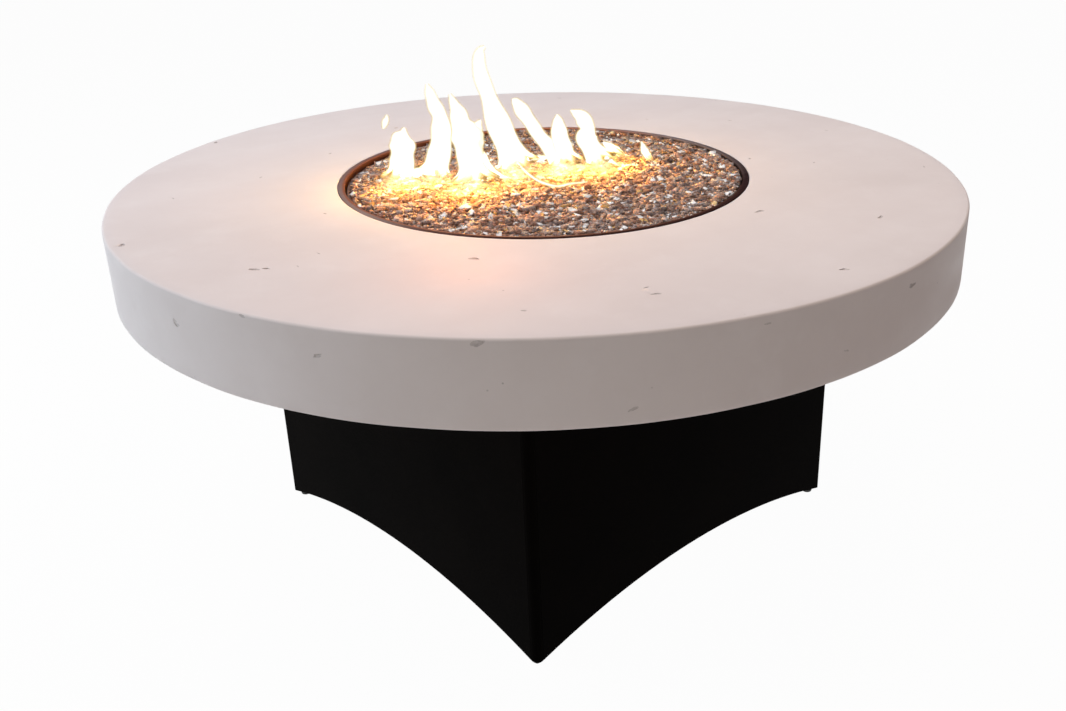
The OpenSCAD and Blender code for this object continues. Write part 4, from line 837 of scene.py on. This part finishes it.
def flame_shell(knots, grow):
    """One tongue: an oval carried along its middle line, flatter front to back, with a waving edge and a
    flared foot. grow widens it. The rise of a point is its height over the glass in tenths of a metre,
    ragged by waves round the oval; a low web has the same rise all along."""
    path = spline(knots, FLAME_RINGS)
    low_web = max(knot[2] for knot in knots) < 10
    flare = 0.0 if low_web else 0.42 * np.exp(-(path[:, 2] / 9.0) ** 2)
    wave = 0.05 * np.sin(np.arange(FLAME_RINGS) * 0.75 + knots[0][0])
    middle = path[:, :3] * MM + (0.0, 0.0, GLASS_Z)
    half = np.maximum(path[:, 3] * MM * (1 + wave + flare) + grow, 0.12 * MM)
    ahead = np.gradient(middle, axis=0)
    ahead /= np.linalg.norm(ahead, axis=1, keepdims=True)
    across = np.cross(np.broadcast_to(FLAME_DEEP, ahead.shape), ahead)
    across /= np.linalg.norm(across, axis=1, keepdims=True)
    deep = np.cross(ahead, across)
    turn = np.linspace(0, 2 * np.pi, FLAME_SIDES, endpoint=False)
    points = (middle[:, None] + across[:, None] * (half[:, None] * np.cos(turn))[..., None]
              + deep[:, None] * (half[:, None] * 0.62 * np.sin(turn))[..., None])
    ragged = 2.6 * np.sin(7 * turn + knots[0][1]) + 2.2 * np.sin(11 * turn + 1.7 * knots[0][0])
    rise = np.clip((path[:, 2:3] - ragged[None]) / 100.0, 0.0, 1.0)
    if low_web:
        rise = np.full_like(rise, 0.15)
    return points.reshape(-1, 3), rise.ravel()


def make_glow():
    """Painted pool of the fire's light on the glass before each flame: flat glowing domes that are no lamp,
    longer towards the viewer, whose rise falls from the middle (1) to a ragged rim (0)."""
    rings, sides = 12, 40
    q = np.linspace(0.0, 1.0, rings)[:, None]
    a = np.linspace(0, 2 * np.pi, sides, endpoint=False)[None]
    points, rises = [], []
    for knots in LIT_TONGUES:
        if knots[0][2] > 0:
            continue
        foot, half = np.array(knots[0][:2]), knots[0][3] + 3.0
        wave = (1 + 0.22 * np.sin(3 * a + foot[0]) + 0.16 * np.sin(7 * a + foot[1])
                + 0.10 * np.sin(13 * a + foot[0]))
        across = 1.7 * half * q * np.cos(a) * wave
        deep = 2.6 * half * q * np.sin(a) * wave - 1.3 * half
        flat = foot + across[..., None] * FLAME_RIGHT[:2] + deep[..., None] * FLAME_DEEP[:2]
        reach = np.hypot(flat[..., 0], flat[..., 1])
        flat *= np.minimum(1.0, (GLASS_R / MM - 4.0) / np.maximum(reach, 1.0))[..., None]
        ripple = 0.6 * np.sin(5 * a + 9 * q + foot[1]) * (1 - q)
        height = GLASS_Z / MM + 0.6 + 4.0 * (1 - q**2) + ripple
        points.append(np.concatenate([flat, height[..., None]], -1).reshape(-1, 3) * MM)
        streak = 0.12 * np.sin(11 * a + foot[0]) + 0.10 * np.sin(17 * a + foot[1])
        rises.append(np.clip((1 - q) * (1 + streak), 0, 1).ravel())
    faces = repeated(grid_faces(rings, sides, False, True), len(points), rings * sides)
    mesh = mesh_of("painted_fire_pool", np.vstack(points), faces)
    add_values(mesh, "rise", np.concatenate(rises))
    stops = [(0.0, (1.0, 0.50, 0.14)), (0.4, (1.0, 0.64, 0.24)), (1.0, (1.0, 0.86, 0.52))]
    alphas = [(0.0, 0.0), (0.3, 0.04), (0.6, 0.10), (1.0, 0.18)]
    # Painted light: these domes glow over the glass as a pool of the fire's light, though they are no lamp
    made = piece("painted_fire_pool", mesh, flame_skin("painted_fire_pool", stops, alphas, 4.5))
    made.visible_shadow = False
    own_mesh(made)


def make_flames():
    """Flames as nested skins: an orange edge, a yellow mantle, a pale body and a white heart."""
    make_glow()
    shell_faces = tube_faces(FLAME_RINGS, FLAME_SIDES)
    faces = repeated(shell_faces, len(TONGUES), FLAME_RINGS * FLAME_SIDES)
    for name, (grow, stops, alphas, strength) in FLAME_SKINS.items():
        points, rises = zip(*[flame_shell(knots, grow * MM) for knots in TONGUES])
        mesh = mesh_of(name, np.vstack(points), faces)
        add_values(mesh, "rise", np.concatenate(rises))
        smooth(mesh, 80)
        made = piece(name, mesh, flame_skin(name, stops, alphas, strength))
        made.visible_shadow = False
        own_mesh(made)
        if name == "flame_heart":
            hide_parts("flames")


# Igniter spring


def make_spring():
    """Return spring of the igniter: a round wire carried along a helix of four turns."""
    low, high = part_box("igniter_spring")
    turns, steps, sides, wire = 4, 40, 10, 0.55 * MM
    coil = (high.z - low.z) / 2 - wire
    share = np.linspace(0.0, 1.0, turns * steps + 1)[:, None]
    angle = 2 * np.pi * turns * share
    turn = np.linspace(0, 2 * np.pi, sides, endpoint=False)[None]
    out = coil + wire * np.sin(turn)
    x = low.x + wire + (high.x - low.x - 2 * wire) * share + wire * np.cos(turn)
    y = (low.y + high.y) / 2 + out * np.cos(angle)
    z = (low.z + high.z) / 2 + out * np.sin(angle)
    points = np.stack([x, y, z], -1).reshape(-1, 3)
    mesh = mesh_of("igniter_coil", points, tube_faces(turns * steps + 1, sides))
    smooth(mesh, 60)
    made = piece("igniter_coil", mesh, ZINC)
    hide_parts("igniter_spring")
    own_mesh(made)


# Stage, lights and camera


def white_seen(tree, share):
    """How much plain white is mixed in: a share of it for what the camera, gloss and glass see, else none."""
    path = tree.nodes.new("ShaderNodeLightPath")
    both = math_node(tree, "ADD", path.outputs["Is Camera Ray"], path.outputs["Is Glossy Ray"])
    seen = math_node(tree, "ADD", both, path.outputs["Is Transmission Ray"], clamp=True)
    return math_node(tree, "MULTIPLY", seen, share)


def make_stage():
    """A pale floor that shows almost white and keeps a soft shadow."""
    size = 9.0
    points = np.array([(-size, -size, 0), (size, -size, 0), (size, size, 0), (-size, size, 0)], float)
    mesh = mesh_of("floor", points, np.array([(0, 1, 2, 3)]))
    floor = linked("floor", mesh)
    material, tree, shader = new_material("floor_white", Base_Color=(0.76, 0.745, 0.735, 1.0), Roughness=0.9,
                                          Specular_IOR_Level=0.0)
    glow = tree.nodes.new("ShaderNodeEmission")
    glow.inputs["Color"].default_value = (1.0, 1.0, 1.0, 1.0)
    mixed = tree.nodes.new("ShaderNodeMixShader")
    out = tree.nodes["Material Output"]
    tree.links.new(white_seen(tree, 0.975), mixed.inputs["Fac"])
    tree.links.new(shader.outputs["BSDF"], mixed.inputs[1])
    tree.links.new(glow.outputs["Emission"], mixed.inputs[2])
    tree.links.new(mixed.outputs["Shader"], out.inputs["Surface"])
    mesh.materials.append(material)


def make_world():
    """Even pale light from all round, seen as white."""
    world = bpy.data.worlds.new("studio")
    bpy.context.scene.world = world
    world.use_nodes = True
    tree = world.node_tree
    tree.nodes.clear()
    fill = tree.nodes.new("ShaderNodeBackground")
    fill.inputs["Color"].default_value = (1.0, 0.985, 0.975, 1.0)
    fill.inputs["Strength"].default_value = 0.02
    seen = tree.nodes.new("ShaderNodeBackground")
    seen.inputs["Color"].default_value = (1.0, 1.0, 1.0, 1.0)
    seen.inputs["Strength"].default_value = 1.0
    mixed = tree.nodes.new("ShaderNodeMixShader")
    out = tree.nodes.new("ShaderNodeOutputWorld")
    tree.links.new(white_seen(tree, 1.0), mixed.inputs["Fac"])
    tree.links.new(fill.outputs["Background"], mixed.inputs[1])
    tree.links.new(seen.outputs["Background"], mixed.inputs[2])
    tree.links.new(mixed.outputs["Shader"], out.inputs["Surface"])


def area_lamp(name, place, target, size, power, colour):
    """A square soft lamp that faces a point."""
    data = bpy.data.lights.new(name, "AREA")
    data.size = size
    data.energy = power
    data.color = colour
    lamp = linked(name, data)
    lamp.location = place
    lamp.rotation_euler = (Vector(target) - Vector(place)).to_track_quat("-Z", "Y").to_euler()
    lamp.visible_glossy = False


def fire_lamp(name, place, power, radius, colour):
    """A small warm lamp of the fire, which throws its glow on the glass and the top."""
    data = bpy.data.lights.new(name, "POINT")
    data.energy = power
    data.color = colour
    data.shadow_soft_size = radius
    lamp = linked(name, data)
    lamp.location = place
    lamp.visible_glossy = False


# Power of the glow ahead of each lit tongue, in watts
AHEAD_POWER = [0.09, 0.09, 0.16, 0.17, 0.16, 0.14, 0.10, 0.06, 0.04]


def make_lights():
    """A large lamp overhead, one straight above the right, a cool one at the left, a low one in front, faint
    ones at the right and behind, and the fire's own glow: lamps at the feet of the flames, low over the glass
    before them, and over the top where it falls in front of the pan."""
    middle = (0, 0, 0.4)
    area_lamp("overhead", (-0.95, -0.70, 3.0), middle, 2.2, 39.0, (0.96, 0.925, 0.97))
    area_lamp("above_right", (0.5, 0.5, 2.6), (0.5, 0.5, 0.0), 0.9, 18.0, (1.0, 0.82, 0.66))
    area_lamp("right", (2.4, 1.4, 0.9), middle, 1.4, 1.2, (1.0, 0.15, 0.02))
    area_lamp("left", (-2.2, -2.2, 1.2), middle, 1.6, 54.0, (0.74, 0.895, 1.0))
    area_lamp("back", (-1.2, 1.6, 2.0), middle, 1.6, 5.0, (0.1, 0.5, 1.0))
    area_lamp("front", (1.9, -1.9, 1.2), middle, 1.6, 11.5, (1.0, 0.95, 0.87))
    for index, (knots, ahead) in enumerate(zip(LIT_TONGUES, AHEAD_POWER)):
        x, y = np.array(knots[0][:2]) * MM + (0.012, -0.012)
        fire_lamp(f"foot_{index}", (x, y, GLASS_Z + 0.040), 0.20, 0.016, (1.0, 0.55, 0.11))
        fire_lamp(f"low_{index}", (x + 0.024, y - 0.024, GLASS_Z + 0.012), 0.25, 0.010, (1.0, 0.52, 0.09))
        fire_lamp(f"ahead_{index}", (x + 0.060, y - 0.060, GLASS_Z + 0.030), ahead, 0.016, (1.0, 0.42, 0.02))
    fire_lamp("verge_far", (0.225, -0.295, TABLE_Z + 0.08), 0.12, 0.04, (1.0, 0.25, 0.0))
    fire_lamp("verge_near", (0.133, -0.267, TABLE_Z + 0.05), 0.020, 0.03, (1.0, 0.40, 0.05))


def make_camera():
    """The photograph's camera: place and axes worked out from the outlines of the top, the pan and the
    base."""
    data = bpy.data.cameras.new("camera")
    data.sensor_width = 36.0
    data.lens = 37.48
    data.shift_x = -0.0890
    data.shift_y = -0.0254
    data.clip_start = 0.01
    camera = linked("camera", data)
    ahead = Vector((-0.64929, 0.64897, -0.39658)).normalized()
    right = Vector((0.70823, 0.70598, -0.00425))
    right = (right - ahead * right.dot(ahead)).normalized()
    up = right.cross(ahead)
    axes = Matrix((right, up, -ahead)).transposed().to_4x4()
    camera.matrix_world = Matrix.Translation((1.0739, -0.9227, 0.8717)) @ axes
    bpy.context.scene.camera = camera


dress_nodes()
make_top()
make_chips()
make_flames()
make_spring()
make_stage()
make_world()
make_lights()
make_camera()

bpy.context.scene.view_settings.view_transform = "Standard"
